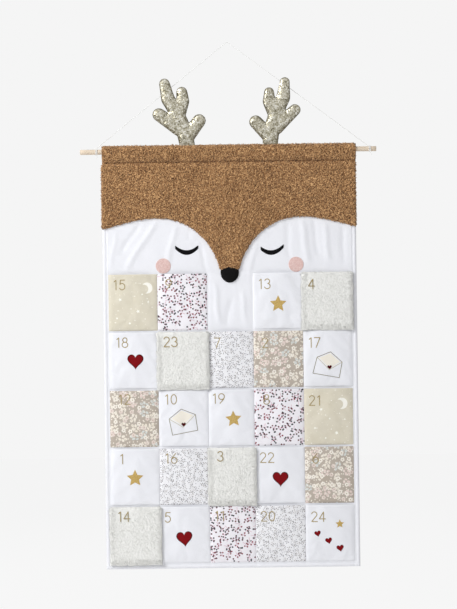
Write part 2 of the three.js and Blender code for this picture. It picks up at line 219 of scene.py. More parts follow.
def shell(name, outer, inner, ratio=1, normals=None):
    """A closed mesh between two grids of points, of which the inner one keeps every ratio-th point.

    The grids run right along their first axis and up along their second, seen from outside.
    """
    columns, rows = outer.shape[:2]
    inner = inner[::ratio, ::ratio]
    few_columns, few_rows = inner.shape[:2]
    count = columns * rows
    faces = grid_faces(columns, rows) + grid_faces(few_columns, few_rows, count, True)
    far = np.arange(count).reshape(columns, rows)
    near = count + np.arange(few_columns * few_rows).reshape(few_columns, few_rows)

    def rim(outside, inside):
        """Joins a run of the fine edge to the wider steps of the coarse one."""
        for k in range(len(inside) - 1):
            stretch = outside[k * ratio : (k + 1) * ratio + 1]
            faces.append([*map(int, stretch[::-1]), int(inside[k]), int(inside[k + 1])])

    rim(far[:, 0], near[:, 0])
    rim(far[-1, :], near[-1, :])
    rim(far[::-1, -1], near[::-1, -1])
    rim(far[0, ::-1], near[0, ::-1])
    piece = piece_of(name, np.concatenate([outer.reshape(-1, 3), inner.reshape(-1, 3)]), faces)
    if normals is not None:
        inside = normals_of(inner) * -1
        both = np.concatenate([normals.reshape(-1, 3), inside.reshape(-1, 3)])
        piece.data.normals_split_custom_set_from_vertices(both.tolist())
    return piece


def tube(path, radius, sides):
    """Points and faces of a closed tube along a path; the radius is one number or one a point."""
    path = np.asarray(path, float)
    radius = np.broadcast_to(np.asarray(radius, float), len(path))
    ahead = np.gradient(path, axis=0)
    ahead /= np.linalg.norm(ahead, axis=1, keepdims=True)
    side = np.cross(ahead[0], ASKEW)
    points = []
    for place, direction, r in zip(path, ahead, radius):
        side = side - direction * (side @ direction)
        side /= np.linalg.norm(side)
        other = np.cross(direction, side)
        for k in range(sides):
            angle = 2 * math.pi * k / sides
            points.append(place + r * (math.cos(angle) * side + math.sin(angle) * other))
    faces = []
    for i in range(len(path) - 1):
        for k in range(sides):
            a, b = i * sides + k, i * sides + (k + 1) % sides
            faces.append([a, b, b + sides, a + sides])
    last = (len(path) - 1) * sides
    faces.append(list(range(sides))[::-1])
    faces.append([last + k for k in range(sides)])
    return points, faces


def gather(parts):
    """Joins lists of points and faces into one."""
    points, faces = [], []
    for more_points, more_faces in parts:
        start = len(points)
        points.extend(more_points)
        faces.extend([[start + i for i in face] for face in more_faces])
    return points, faces


def soft_clamp(value, limit):
    """The value, bent so that it never passes the limit on either side."""
    return limit * np.tanh(value / limit)


def read_cells(values, i, j, a, b):
    """A grid's values in its cells i, j, at the shares a and b of the way through them."""
    low = values[i, j] * (1 - a) + values[i + 1, j] * a
    high = values[i, j + 1] * (1 - a) + values[i + 1, j + 1] * a
    return low * (1 - b) + high * b


def surface_reader(grid):
    """A way to read the y of a cloth's grid of points at any x and z."""
    xs, zs = grid[:, 0, 0], grid[0, :, 2]
    ys = grid[..., 1]

    def read(x, z):
        """The y there, or at the nearest edge."""
        i = np.clip(np.searchsorted(xs, x) - 1, 0, len(xs) - 2)
        j = np.clip(np.searchsorted(zs, z) - 1, 0, len(zs) - 2)
        a = np.clip((x - xs[i]) / (xs[i + 1] - xs[i]), 0, 1)
        b = np.clip((z - zs[j]) / (zs[j + 1] - zs[j]), 0, 1)
        return read_cells(ys, i, j, a, b)

    return read


def smooth_step(value):
    """From 0 to 1 with an easy start and end."""
    value = np.clip(value, 0, 1)
    return value * value * (3 - 2 * value)


def bell(away, width):
    """1 on a line and less beside it, by how far away it is."""
    return np.exp(-((away / width) ** 2))


def waves(x, z, size, seed, octaves=2):
    """Smooth noise of about -1 to 1 over two arrays, with features of that size."""
    flat = zip(np.ravel(x) / size, np.ravel(z) / size)
    values = [noise.fractal(Vector((a, b, seed * NOISE_STEP)), 1.0, 2.0, octaves) for a, b in flat]
    return np.array(values).reshape(np.shape(x))


def plain_noise(*place):
    """One octave of noise at places, whose x, y and z are each an array or one number."""
    return np.array([noise.noise(Vector(p)) for p in zip(*np.broadcast_arrays(*place))])


# Cloth simulation, at a size of about one unit, with the result read back in millimetres

SETTLE_SCALE = 0.01
COTTON_CLOTH = {"quality": 5, "mass": 0.2, "tension_stiffness": 15, "compression_stiffness": 15,
                "shear_stiffness": 5, "bending_stiffness": 0.5, "air_damping": 1}


def settle(points, faces, pinned, frames, pressure=0.0, **numbers):
    """Where a cloth's points come to rest, in millimetres; its sewn points stay where they are."""
    mesh = bpy.data.meshes.new("settling")
    mesh.from_pydata((points * SETTLE_SCALE).tolist(), [], faces)
    piece = link("settling", mesh)
    group = piece.vertex_groups.new(name="pinned")
    group.add([int(i) for i in pinned], 1.0, "REPLACE")
    cloth = piece.modifiers.new("cloth", "CLOTH")
    settings = cloth.settings
    settings.vertex_group_mass = "pinned"
    settings.effector_weights.gravity = 0
    settings.use_pressure = pressure > 0
    settings.uniform_pressure_force = pressure
    for key, value in {**COTTON_CLOTH, **numbers}.items():
        setattr(settings, key, value)
    cloth.collision_settings.use_collision = False
    cloth.point_cache.frame_start = 1
    cloth.point_cache.frame_end = frames
    scene = bpy.context.scene
    for step in range(1, frames + 1):
        scene.frame_set(step)
    evaluated = piece.evaluated_get(bpy.context.evaluated_depsgraph_get())
    settled = vertex_values(evaluated.data, "co").astype(float) / SETTLE_SCALE
    bpy.data.objects.remove(piece)
    scene.frame_set(1)
    return settled


# Pile: curls scattered over a cloth, as a map of heights, and short yarns that stand on it

MAP_STEP = 0.75
CURL_KINDS = 60
CURL_JITTER = 0.35
ROW_CLOSE = 1.15
YARN_TAPER = ([0, 0.3, 0.7, 1], [0.9, 1, 0.9, 0.35])


def curl_stamps(radius, count, seed):
    """Small pictures of single curls: an open ring over a low dome."""
    random_curl = random.Random(seed)
    reach = int(math.ceil(1.5 * radius / MAP_STEP))
    axis = np.arange(-reach, reach + 1) * MAP_STEP
    x, y = np.meshgrid(axis, axis, indexing="ij")
    stamps = []
    for _ in range(count):
        size = radius * random_curl.uniform(0.75, 1.15)
        turn = random_curl.uniform(0, 2 * math.pi)
        stretch = random_curl.uniform(0.75, 1.3)
        out = np.hypot(x * stretch, y / stretch)
        open_side = 0.5 + 0.5 * np.cos(np.arctan2(y, x) - turn)
        ring = bell(out - 0.55 * size, 0.3 * size) * (0.35 + 0.65 * open_side)
        low_dome = 0.55 * bell(out, 0.85 * size)
        stamps.append(np.clip(0.75 * ring + low_dome, 0, 1) * random_curl.uniform(0.75, 1.0))
    return stamps


def curl_map(width, height, spacing, radius, seed):
    """Heights and tones of the pile over a cloth, both from 0 to 1."""
    random_place = random.Random(seed)
    stamps = curl_stamps(radius, CURL_KINDS, seed + 1)
    reach = stamps[0].shape[0] // 2
    columns = int(width / MAP_STEP) + 2 * reach + 2
    rows = int(height / MAP_STEP) + 2 * reach + 2
    heights, tones = np.zeros((columns, rows)), np.full((columns, rows), 0.5)
    places = []
    for i in range(int(width / spacing) + 2):
        for j in range(int(height / spacing * ROW_CLOSE) + 2):
            x = (i + 0.5 * (j % 2) + random_place.uniform(-CURL_JITTER, CURL_JITTER)) * spacing
            y = (j + random_place.uniform(-CURL_JITTER, CURL_JITTER)) * spacing / ROW_CLOSE
            places.append((x, y))
    random_place.shuffle(places)
    for x, y in places:
        i, j = int(x / MAP_STEP), int(y / MAP_STEP)
        if i + 2 * reach + 1 > columns or j + 2 * reach + 1 > rows or i < 0 or j < 0:
            continue
        stamp = stamps[random_place.randrange(len(stamps))]
        place = (slice(i, i + 2 * reach + 1), slice(j, j + 2 * reach + 1))
        higher = stamp > heights[place]
        heights[place] = np.where(higher, stamp, heights[place])
        tones[place] = np.where(higher, random_place.random(), tones[place])
    inside = (slice(reach, columns - reach), slice(reach, rows - reach))
    return heights[inside], tones[inside]


def read_map(values, x, y):
    """The map's values at places in millimetres, smoothed between its points."""
    columns, rows = values.shape
    i = np.clip(x / MAP_STEP, 0, columns - 1.001)
    j = np.clip(y / MAP_STEP, 0, rows - 1.001)
    i0, j0 = i.astype(int), j.astype(int)
    return read_cells(values, i0, j0, i - i0, j - j0)


def pile_yarns(name, surface, normals, count, yarn, seed, share=1.0, lean_to=(0, 0, 0)):
    """Short yarns that stand out of a cloth: each a three-sided arc, shaped as yarn says."""
    random_yarn = np.random.default_rng(seed)
    corner = surface[:-1, :-1]
    ahead, above = surface[1:, :-1] - corner, surface[:-1, 1:] - corner
    share = np.broadcast_to(share, surface.shape[:2])[:-1, :-1]
    area = (np.linalg.norm(np.cross(ahead, above), axis=2) * share).ravel()
    i, j = np.unravel_index(random_yarn.choice(area.size, count, p=area / area.sum()), corner.shape[:2])
    u, v = random_yarn.random((2, count, 1))
    foot = corner[i, j] + ahead[i, j] * u + above[i, j] * v
    up = normals[i, j]
    lean = random_yarn.normal(size=(count, 3)) * yarn["spread"] + np.array(lean_to)
    lean -= up * (lean * up).sum(axis=1, keepdims=True)
    lean /= np.linalg.norm(lean, axis=1, keepdims=True)
    aside = np.cross(up, lean)
    size = yarn["size"] * random_yarn.uniform(0.7, 1.2, (count, 1, 1))
    count_rings = yarn["rings"]
    angles = np.radians(np.linspace(*yarn["sweep"], count_rings))[None, :, None]
    tall, long = up[:, None] * yarn["rise"], lean[:, None] * yarn["run"]
    centre = foot[:, None] + size * (tall * np.sin(angles) - long * np.cos(angles))
    forward = tall * np.cos(angles) + long * np.sin(angles)
    forward /= np.linalg.norm(forward, axis=2, keepdims=True)
    across = np.broadcast_to(aside[:, None], forward.shape)
    other = np.cross(forward, across)
    thick = yarn["thick"] * np.interp(np.linspace(0, 1, count_rings), *YARN_TAPER)
    turns = np.arange(3) * 2 * math.pi / 3
    rings = [centre + thick[None, :, None] * (math.cos(t) * across + math.sin(t) * other) for t in turns]
    points = np.stack(rings, axis=2)
    each = 3 * count_rings
    start = (np.arange(count) * each)[:, None, None]
    ring = 3 * np.arange(count_rings - 1)[None, :, None]
    a, b = start + ring + np.arange(3), start + ring + (np.arange(3) + 1) % 3
    faces = np.stack([a, b, b + 3, a + 3], axis=3).reshape(-1, 4).tolist()
    first = start[:, 0, 0]
    faces += np.stack([first + 2, first + 1, first], axis=1).tolist()
    faces += np.stack([first + each - 3, first + each - 2, first + each - 1], axis=1).tolist()
    piece = piece_of(name, points, faces)
    # each yarn's stored pile rises from its foot to its top: painted shade at the foot, painted light at the
    # top
    height = np.broadcast_to(0.5 + 0.5 * np.sin(angles[..., 0]), (count, count_rings))
    store(piece, "pile", np.repeat(height, 3))
    store(piece, "tone", np.repeat(random_yarn.random(count), each))
    return piece


# Materials


def shade(red, green, blue):
    """A colour as it looks on a screen, from 0 to 255, as the linear colour that a shader takes."""

    def linear(value):
        """One channel of the colour, by the sRGB curve."""
        value /= 255
        return value / 12.92 if value <= 0.04045 else ((value + 0.055) / 1.055) ** 2.4

    return (linear(red), linear(green), linear(blue), 1.0)


class Nodes:
    """Short calls that add nodes to one new material, or to a world, and link them."""

    def __init__(self, name, world=None):
        self.material = world or bpy.data.materials.new(name)
        self.material.use_nodes = True
        self.tree = self.material.node_tree
        self.tree.nodes.clear()

    def feed(self, socket, value):
        """Links a node's output to the socket, or sets a plain value on it."""
        if isinstance(value, bpy.types.NodeSocket):
            self.tree.links.new(value, socket)
        else:
            socket.default_value = value

    def add(self, kind, inputs, **settings):
        """A new node of that kind, with its settings made and its inputs fed."""
        node = self.tree.nodes.new("ShaderNode" + kind)
        for key, value in settings.items():
            setattr(node, key, value)
        for key, value in inputs.items():
            self.feed(node.inputs[key], value)
        return node

    def math(self, operation, a, b=0.0, c=0.0):
        """What a sum of up to three numbers gives."""
        return self.add("Math", {0: a, 1: b, 2: c}, operation=operation).outputs[0]

    def vector(self, operation, a, b=(0, 0, 0)):
        """What a sum of two vectors gives, as a number where it is a length."""
        node = self.add("VectorMath", {0: a, 1: b}, operation=operation)
        return node.outputs["Value" if operation in ("LENGTH", "DISTANCE") else "Vector"]

    def mix(self, factor, a, b):
        """A colour between a and b."""
        node = self.add("Mix", {0: factor, 6: a, 7: b}, data_type="RGBA")
        return node.outputs[2]

    def rest(self):
        """Where the point is at rest, in millimetres."""
        return self.add("Attribute", {}, attribute_name="rest").outputs["Vector"]

    def number(self, name):
        """A number that the piece stores at each point."""
        return self.add("Attribute", {}, attribute_name=name).outputs["Fac"]

    def noise(self, place, size, detail=2.0, roughness=0.5):
        """Noise from 0 to 1 with features of about that size in millimetres."""
        inputs = {"Vector": place, "Scale": 1 / size, "Detail": detail, "Roughness": roughness}
        return self.add("TexNoise", inputs).outputs["Fac"]

    def ramp(self, factor, stops):
        """A colour from a row of stops."""
        node = self.add("ValToRGB", {"Fac": factor})
        elements = node.color_ramp.elements
        while len(elements) < len(stops):
            elements.new(0.5)
        for element, (position, color) in zip(elements, stops):
            element.position = position
            element.color = color
        return node.outputs["Color"]

    def between(self, value, low, high):
        """The value's way from low to high, from 0 to 1."""
        inputs = {"Value": value, "From Min": low, "From Max": high}
        return self.add("MapRange", inputs, clamp=True).outputs["Result"]

    def bump(self, height, distance, strength=1.0):
        """A normal bent by a height; the distance is in millimetres."""
        inputs = {"Height": height, "Distance": distance * METRES, "Strength": strength}
        return self.add("Bump", inputs).outputs["Normal"]

    def surface(self, color, roughness, normal=None, **numbers):
        """Ends the material in a shader with these values and gives it back."""
        inputs = {"Base Color": color, "Roughness": roughness}
        inputs.update({key.replace("_", " "): value for key, value in numbers.items()})
        if normal is not None:
            inputs["Normal"] = normal
        shader = self.add("BsdfPrincipled", inputs)
        self.add("OutputMaterial", {"Surface": shader.outputs["BSDF"]})
        return self.material


WEAVE = 0.55
WEAVE_DEPTH = 0.05
SHEEN = 0.15


def weave_bump(n, rest):
    """The fine diagonal ribs and slubs of brushed cotton twill, as a normal."""
    inputs = {"Vector": rest, "Scale": 1 / (WEAVE * 6.3), "Distortion": 0.6, "Detail": 1.0}
    ribs = n.add("TexWave", inputs, bands_direction="DIAGONAL").outputs["Fac"]
    fuzz = n.noise(rest, 0.9, 3.0, 0.65)
    return n.bump(n.math("ADD", ribs, n.math("MULTIPLY", fuzz, 1.5)), WEAVE_DEPTH)


def cotton(name, paint):
    """Brushed cotton whose colour comes from paint(nodes, rest)."""
    n = Nodes(name)
    rest = n.rest()
    tint = n.between(n.noise(rest, 40.0, 3.0), 0.3, 0.7)
    fine = n.between(n.noise(rest, 1.4, 2.0), 0.25, 0.75)
    color = paint(n, rest)
    shaded = n.mix(n.math("MULTIPLY", tint, 0.05), color, shade(205, 208, 222))
    grained = n.mix(n.math("MULTIPLY", fine, 0.06), shaded, shade(190, 192, 205))
    return n.surface(grained, 0.85, weave_bump(n, rest),
                     Sheen_Weight=SHEEN, Sheen_Roughness=0.5, Specular_IOR_Level=0.2)


def plain(color):
    """A print of one colour."""
    return lambda n, rest: color


def scatter(n, rest, spacing, offset, randomness=0.6):
    """Places in cells: the way from each cell's middle, turned at random, and two numbers of its own."""
    place = n.add("SeparateXYZ", {0: rest})
    flat = n.add("CombineXYZ", {0: place.outputs["X"], 1: place.outputs["Z"]}).outputs[0]
    moved = n.vector("ADD", flat, (offset, offset * 0.37, 0))
    inputs = {"Vector": moved, "Scale": 1 / spacing, "Randomness": randomness}
    cells = n.add("TexVoronoi", inputs, voronoi_dimensions="2D")
    away = n.vector("SUBTRACT", moved, cells.outputs["Position"])
    color = n.add("SeparateColor", {0: cells.outputs["Color"]})
    angle = n.math("MULTIPLY", color.outputs[0], 2 * math.pi)
    turned = n.add("VectorRotate", {"Vector": away, "Angle": angle}, rotation_type="Z_AXIS")
    return turned.outputs["Vector"], color.outputs[1], color.outputs[2]


def dots(n, local, places):
    """1 inside any of the dots, given as x, y and radius."""
    nearest = None
    for x, y, radius in places:
        away = n.math("SUBTRACT", n.vector("DISTANCE", local, (x, y, 0)), radius)
        nearest = away if nearest is None else n.math("MINIMUM", nearest, away)
    return n.math("LESS_THAN", nearest, 0.0)


def specks(n, rest, base, tone, spacing, offset, radius, randomness=1.0, cover=None):
    """The base colour with one round speck in each cell, which may let some of it through."""
    local, *_ = scatter(n, rest, spacing, offset, randomness)
    inside = dots(n, local, [(0, 0, radius)])
    if cover is not None:
        inside = n.math("MULTIPLY", inside, cover)
    return n.mix(inside, base, tone)


def leaves(n, local, places):
    """1 inside any of the leaves, given as x, y, half length, half width and angle in degrees."""
    nearest = None
    for x, y, length, width, degrees in places:
        away = n.vector("SUBTRACT", local, (x, y, 0))
        inputs = {"Vector": away, "Angle": -math.radians(degrees)}
        turned = n.add("VectorRotate", inputs, rotation_type="Z_AXIS").outputs["Vector"]
        scaled = n.vector("MULTIPLY", turned, (1 / length, 1 / width, 0))
        size = n.vector("LENGTH", scaled)
        nearest = size if nearest is None else n.math("MINIMUM", nearest, size)
    return n.math("LESS_THAN", nearest, 1.0)


def stem(n, local, length, width, bend):
    """1 on a curved stem that runs up and down through a cell's middle."""
    place = n.add("SeparateXYZ", {0: local})
    x, y = place.outputs["X"], place.outputs["Y"]
    curve = n.math("MULTIPLY", n.math("MULTIPLY", y, y), bend)
    near = n.math("LESS_THAN", n.math("ABSOLUTE", n.math("SUBTRACT", x, curve)), width / 2)
    within = n.math("LESS_THAN", n.math("ABSOLUTE", y), length / 2)
    return n.math("MULTIPLY", near, within)


BERRY_SPRIG = [(0.5, 7.6, 1.95), (4.0, 2.7, 1.8), (-3.6, 0.9, 2.0)]
LEAF_SPRIG = [(0, 4.4, 1.2, 0.7, 90), (1.9, 1.4, 1.1, 0.65, 50), (-1.9, -0.4, 1.1, 0.65, 130),
              (1.7, -3.2, 1.0, 0.6, 50)]
BIG_LEAVES = [(0, 8.6, 4.4, 3.0, 90), (4.6, 3.6, 4.2, 2.8, 55), (-4.6, 2.4, 4.4, 2.9, 125),
              (3.4, -4.6, 4.0, 2.6, 60), (-3.6, -6.0, 3.6, 2.4, 120)]


def berry_print(n, rest):
    """Dark berries on thin pink stalks, on white."""
    color = shade(245, 242, 247)
    for offset, tone in ((0.0, shade(92, 2, 26)), (57.0, shade(14, 2, 16))):
        local, pick, _ = scatter(n, rest, 21.5, offset, 0.85)
        color = n.mix(n.math("MULTIPLY", stem(n, local, 14.5, 1.0, 0.04), 0.6), color, shade(192, 88, 124))
        berry = n.mix(n.math("GREATER_THAN", pick, 0.75), tone, shade(128, 8, 44))
        color = n.mix(dots(n, local, BERRY_SPRIG), color, berry)
    local, pick, _ = scatter(n, rest, 15.5, 31.0, 1.0)
    seed = n.mix(n.math("GREATER_THAN", pick, 0.65), shade(10, 2, 16), shade(80, 4, 30))
    return n.mix(dots(n, local, [(0, 0, 2.0)]), color, seed)


def sprig_print(n, rest):
    """Small grey and beige sprigs and specks on white."""
    color = shade(243, 243, 246)
    for offset, tone in ((0.0, shade(84, 82, 88)), (43.0, shade(132, 122, 112))):
        local, *_ = scatter(n, rest, 13.0, offset, 0.95)
        color = n.mix(n.math("MULTIPLY", stem(n, local, 7.0, 0.5, 0.03), 0.5), color, tone)
        color = n.mix(leaves(n, local, LEAF_SPRIG), color, tone)
    return specks(n, rest, color, shade(84, 82, 94), 8.0, 23.0, 0.9)


def leaf_print(n, rest):
    """Cream leaf sprays and blossoms on taupe."""
    color = shade(186, 174, 160)
    local, pick, other = scatter(n, rest, 24.0, 0.0, 0.6)
    petal = n.mix(n.math("GREATER_THAN", pick, 0.6), shade(238, 230, 216), shade(232, 214, 206))
    petal = n.mix(n.math("GREATER_THAN", other, 0.72), petal, shade(216, 219, 215))
    color = n.mix(leaves(n, local, BIG_LEAVES), color, petal)
    color = n.mix(stem(n, local, 20.0, 0.8, 0.01), color, shade(192, 176, 160))
    local, pick, _ = scatter(n, rest, 19.0, 77.0, 0.9)
    petals = [(2.9 * math.cos(a), 2.9 * math.sin(a), 2.3) for a in np.arange(5) * 0.4 * math.pi]
    bloom = n.mix(n.math("GREATER_THAN", pick, 0.5), shade(246, 240, 229), shade(228, 213, 204))
    color = n.mix(dots(n, local, petals), color, bloom)
    color = n.mix(dots(n, local, [(0, 0, 1.6)]), color, shade(196, 178, 162))
    return specks(n, rest, color, shade(241, 235, 224), 9.0, 19.0, 1.5)


def sand_print(n, rest):
    """Soft white dots on sand."""
    base = n.mix(n.noise(rest, 16.0, 3.0), shade(214, 206, 184), shade(229, 223, 205))
    base = specks(n, rest, base, shade(246, 240, 226), 19.0, 11.0, 1.1, 0.9, 0.75)
    return specks(n, rest, base, shade(250, 246, 236), 31.0, 61.0, 1.6, 0.9, 0.8)


def pile(name, gap_shade, middle, tip_light, strand_size, strand_bump=0.7):
    """Curly pile, with painted shade between its curls and painted light on their tips, by the stored height
    of the pile.
    """
    n = Nodes(name)
    rest = n.rest()
    height = n.number("pile")
    tone = n.number("tone")
    strand = n.noise(n.vector("MULTIPLY", rest, (1.0, 1.0, 0.7)), strand_size, 3.0, 0.6)
    blotch = n.noise(rest, 35.0, 3.0)
    # the stored height of the pile takes the colour from painted shade in the gaps to painted light on the
    # tips
    lift = n.math("MULTIPLY_ADD", height, 0.5, 0.26)
    for part, share in ((strand, 1.75), (tone, 0.22), (blotch, 0.15)):
        lift = n.math("ADD", lift, n.math("MULTIPLY", n.math("SUBTRACT", part, 0.5), share))
    color = n.ramp(lift, [(0.1, gap_shade), (0.5, middle), (0.9, tip_light)])
    normal = n.bump(strand, 0.5, strand_bump)
    return n.surface(color, 0.95, normal, Sheen_Weight=0.3, Sheen_Roughness=0.6, Specular_IOR_Level=0.1)


def wood():
    """Pale wood with its grain along X and a few darker flecks."""
    n = Nodes("beech_wood")
    stretched = n.vector("MULTIPLY", n.rest(), (0.06, 1.0, 1.0))
    grain = n.noise(stretched, 1.6, 4.0, 0.6)
    flecks = n.noise(n.vector("MULTIPLY", n.rest(), (0.35, 1.0, 1.0)), 0.7, 2.0)
    color = n.ramp(grain, [(0.3, shade(206, 186, 160)), (0.7, shade(236, 222, 204))])
    color = n.mix(n.math("MULTIPLY", n.between(flecks, 0.6, 0.75), 0.35), color, shade(184, 156, 124))
    return n.surface(color, 0.55, n.bump(grain, 0.08), Specular_IOR_Level=0.35)


def twisted_cord():
    """White cord with the ribs of its twist."""
    n = Nodes("thin_cord")
    rest = n.rest()
    inputs = {"Vector": rest, "Scale": 0.5, "Distortion": 0.2}
    ribs = n.add("TexWave", inputs, bands_direction="DIAGONAL").outputs["Fac"]
    color = n.mix(ribs, shade(238, 238, 236), shade(250, 250, 249))
    return n.surface(color, 0.8, n.bump(ribs, 0.05), Sheen_Weight=0.2)


def glitter():
    """Champagne glitter cloth: flakes of many brightnesses, with painted shade round its outline where the
    surface turns sideways, and painted light and shade over its crumples.
    """
    n = Nodes("gold_glitter_cloth")
    rest = n.rest()
    flakes = n.add("TexVoronoi", {"Vector": rest, "Scale": 1 / 1.6}).outputs["Color"]
    patches = n.add("TexVoronoi", {"Vector": rest, "Scale": 1 / 3.0}).outputs["Color"]
    flake = n.add("SeparateColor", {0: flakes}).outputs[0]
    patch = n.add("SeparateColor", {0: patches}).outputs[1]
    both = n.math("ADD", n.math("MULTIPLY", flake, 0.55), n.math("MULTIPLY", patch, 0.45))
    # painted light on the crumples' ridges and painted shade in their dents
    both = n.math("ADD", both, n.math("MULTIPLY", n.math("SUBTRACT", n.number("crumple_shading"), 0.5), 0.3))
    stops = [(0.08, shade(86, 79, 58)), (0.36, shade(164, 158, 135)),
             (0.66, shade(200, 195, 178)), (0.94, shade(246, 245, 239))]
    color = n.ramp(both, stops)
    # painted shade round the outline, where the cover turns sideways, from its stored edge number
    color = n.mix(n.number("edge"), color, shade(104, 97, 74))
    tilt = n.vector("MULTIPLY", n.vector("SUBTRACT", flakes, (0.5, 0.5, 0.5)), (0.4, 0.4, 0.4))
    own = n.add("NewGeometry", {}).outputs["Normal"]
    normal = n.vector("NORMALIZE", n.vector("ADD", own, tilt))
    return n.surface(color, 0.32, normal, Metallic=0.6, Specular_IOR_Level=0.8)


def foil(name, dark, light):
    """Printed metal foil with a little glitter."""
    n = Nodes(name)
    cells = n.add("TexVoronoi", {"Vector": n.rest(), "Scale": 1 / 0.7}).outputs["Color"]
    pick = n.add("SeparateColor", {0: cells}).outputs[0]
    return n.surface(n.mix(pick, dark, light), 0.42, Metallic=0.35)


def ink(name, color, other):
    """Printed ink that is speckled with a second colour."""
    n = Nodes(name)
    speck = n.noise(n.rest(), 1.1, 3.0)
    return n.surface(n.mix(speck, color, other), 0.85, Specular_IOR_Level=0.12)


def black_cloth():
    """Matt black cloth."""
    n = Nodes("black_velvet")
    fine = n.noise(n.rest(), 0.7, 3.0, 0.7)
    color = n.mix(fine, shade(6, 6, 6), shade(20, 19, 20))
    return n.surface(color, 0.95, n.bump(fine, 0.2), Sheen_Weight=0.04, Specular_IOR_Level=0.12)


def satin_thread():
    """Threads side by side across an embroidered line."""
    n = Nodes("black_thread")
    along = n.number("along")
    threads = n.math("ABSOLUTE", n.math("SINE", n.math("MULTIPLY", along, math.pi / 0.55)))
    color = n.mix(threads, shade(4, 4, 6), shade(12, 11, 14))
    return n.surface(color, 0.85, n.bump(threads, 0.1), Specular_IOR_Level=0.12)


def felt():
    """Pink felt with pale fibres."""
    n = Nodes("pink_felt")
    rest = n.rest()
    fibre = n.noise(rest, 2.6, 5.0, 0.7)
    blotch = n.noise(rest, 11.0, 2.0)
    color = n.ramp(fibre, [(0.32, shade(208, 166, 160)), (0.68, shade(240, 218, 213))])
    color = n.mix(n.math("MULTIPLY", blotch, 0.4), color, shade(216, 176, 170))
    return n.surface(color, 0.95, n.bump(fibre, 0.3), Sheen_Weight=0.3)


def fibre_filling():
    """White loose fibres."""
    n = Nodes("polyester_wadding")
    fibre = n.noise(n.rest(), 1.6, 5.0, 0.8)
    color = n.mix(fibre, shade(226, 226, 222), shade(250, 250, 248))
    return n.surface(color, 1.0, n.bump(fibre, 0.6), Sheen_Weight=0.2)


WOOD = wood()
CORD = twisted_cord()
GLITTER = glitter()
BLACK = black_cloth()
THREAD = satin_thread()
FELT = felt()
FILLING = fibre_filling()
GOLD = foil("gold_foil", shade(170, 138, 68), shade(222, 192, 120))
DIGIT_GOLD = foil("pale_gold_foil", shade(124, 108, 66), shade(196, 176, 126))
RED = ink("red_flock", shade(112, 8, 14), shade(140, 16, 24))
DARK_RED = ink("dark_red_flock", shade(62, 6, 14), shade(84, 10, 18))
LINE = ink("brown_line", shade(116, 110, 90), shade(142, 134, 112))
PALE_LINE = ink("pale_line", shade(190, 184, 160), shade(208, 200, 178))
LETTER = ink("letter_flap", shade(238, 232, 219), shade(245, 240, 230))
PALE = ink("white_ink", shade(250, 248, 238), shade(255, 253, 246))
WHITE = cotton("white_cotton", plain(shade(240, 241, 246)))
SAND = cotton("sand_cotton", sand_print)
TAUPE = cotton("taupe_print_cotton", leaf_print)
BERRY = cotton("berry_print_cotton", berry_print)
SPRIG = cotton("grey_sprig_cotton", sprig_print)
# each pile's colours run from painted shade between the curls, through its middle, to painted light on the
# tips
BROWN_PILE = pile("brown_teddy", shade(58, 33, 15), shade(143, 101, 61), shade(232, 186, 132), 1.6)
CREAM_PILE = pile("cream_fur", shade(235, 235, 231), shade(239, 239, 236), shade(244, 244, 241), 1.5, 0.1)


def dress(piece, material, body=None, nodes=()):
    """Gives a piece its material, its body and the CAD nodes that it stands for."""
    piece.data.materials.append(material)
    if body:
        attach(piece, body)
    if nodes:
        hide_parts(*nodes)
    return piece


# Cord: its route is the part's own, point for point

CORD_ROUTE = [
    (-312.3, -3.9, -248.5),
    (-280, -3.5, -222.7),
    (-240, -3, -190.8),
    (-200, -2.5, -158.9),
    (-160, -2, -126.9),
    (-120, -1.5, -95),
    (-80, -1, -63),
    (-40, -0.5, -31.2),
    (-16, -0.2, -11.95),
    (-6, -0.05, -3.96),
    (-3, 0, -1.56),
    (-1.86, 0, -0.66),
    (0, 0, 0),
    (1.8, 0, -0.6),
    (3, 0, -1.51),
    (6, -0.05, -3.78),
    (16, -0.2, -11.32),
    (40, -0.5, -29.4),
    (80, -1, -59.7),
    (120, -1.4, -89.8),
    (160, -1.9, -120.1),
    (200, -2.4, -150.2),
    (240, -2.9, -180.5),
    (285, -3.4, -214.4),
    (330.2, -3.9, -248.5),
]
CORD_RADIUS = 0.6
TIE_TURNS = 2
TIE_STEPS = 72
TIE_PITCH = 1.9
TAIL = 14.0
TAIL_STEPS = 8
FRAYS = 7
FRAY_RADII = [0.22, 0.16, 0.08]
KNOT_ANGLE = math.pi / 3
KNOT_RADIUS = 1.9
KNOT_STEPS = 48
KNOT_CORD = 0.52


def hanging_cord():
    """The taut cord from the left tie over the nail to the right tie."""
    data = bpy.data.curves.new("hanging_cord", "CURVE")
    data.dimensions = "3D"
    data.bevel_depth = CORD_RADIUS * METRES
    data.bevel_resolution = 3
    data.resolution_u = 8
    data.use_fill_caps = True
    spline = data.splines.new("BEZIER")
    spline.bezier_points.add(len(CORD_ROUTE) - 1)
    for point, place in zip(spline.bezier_points, CORD_ROUTE):
        point.co = Vector(place) * METRES
        point.handle_left_type = point.handle_right_type = "AUTO"
    return dress(link("hanging_cord", data), CORD, "hanger", ["cord"])


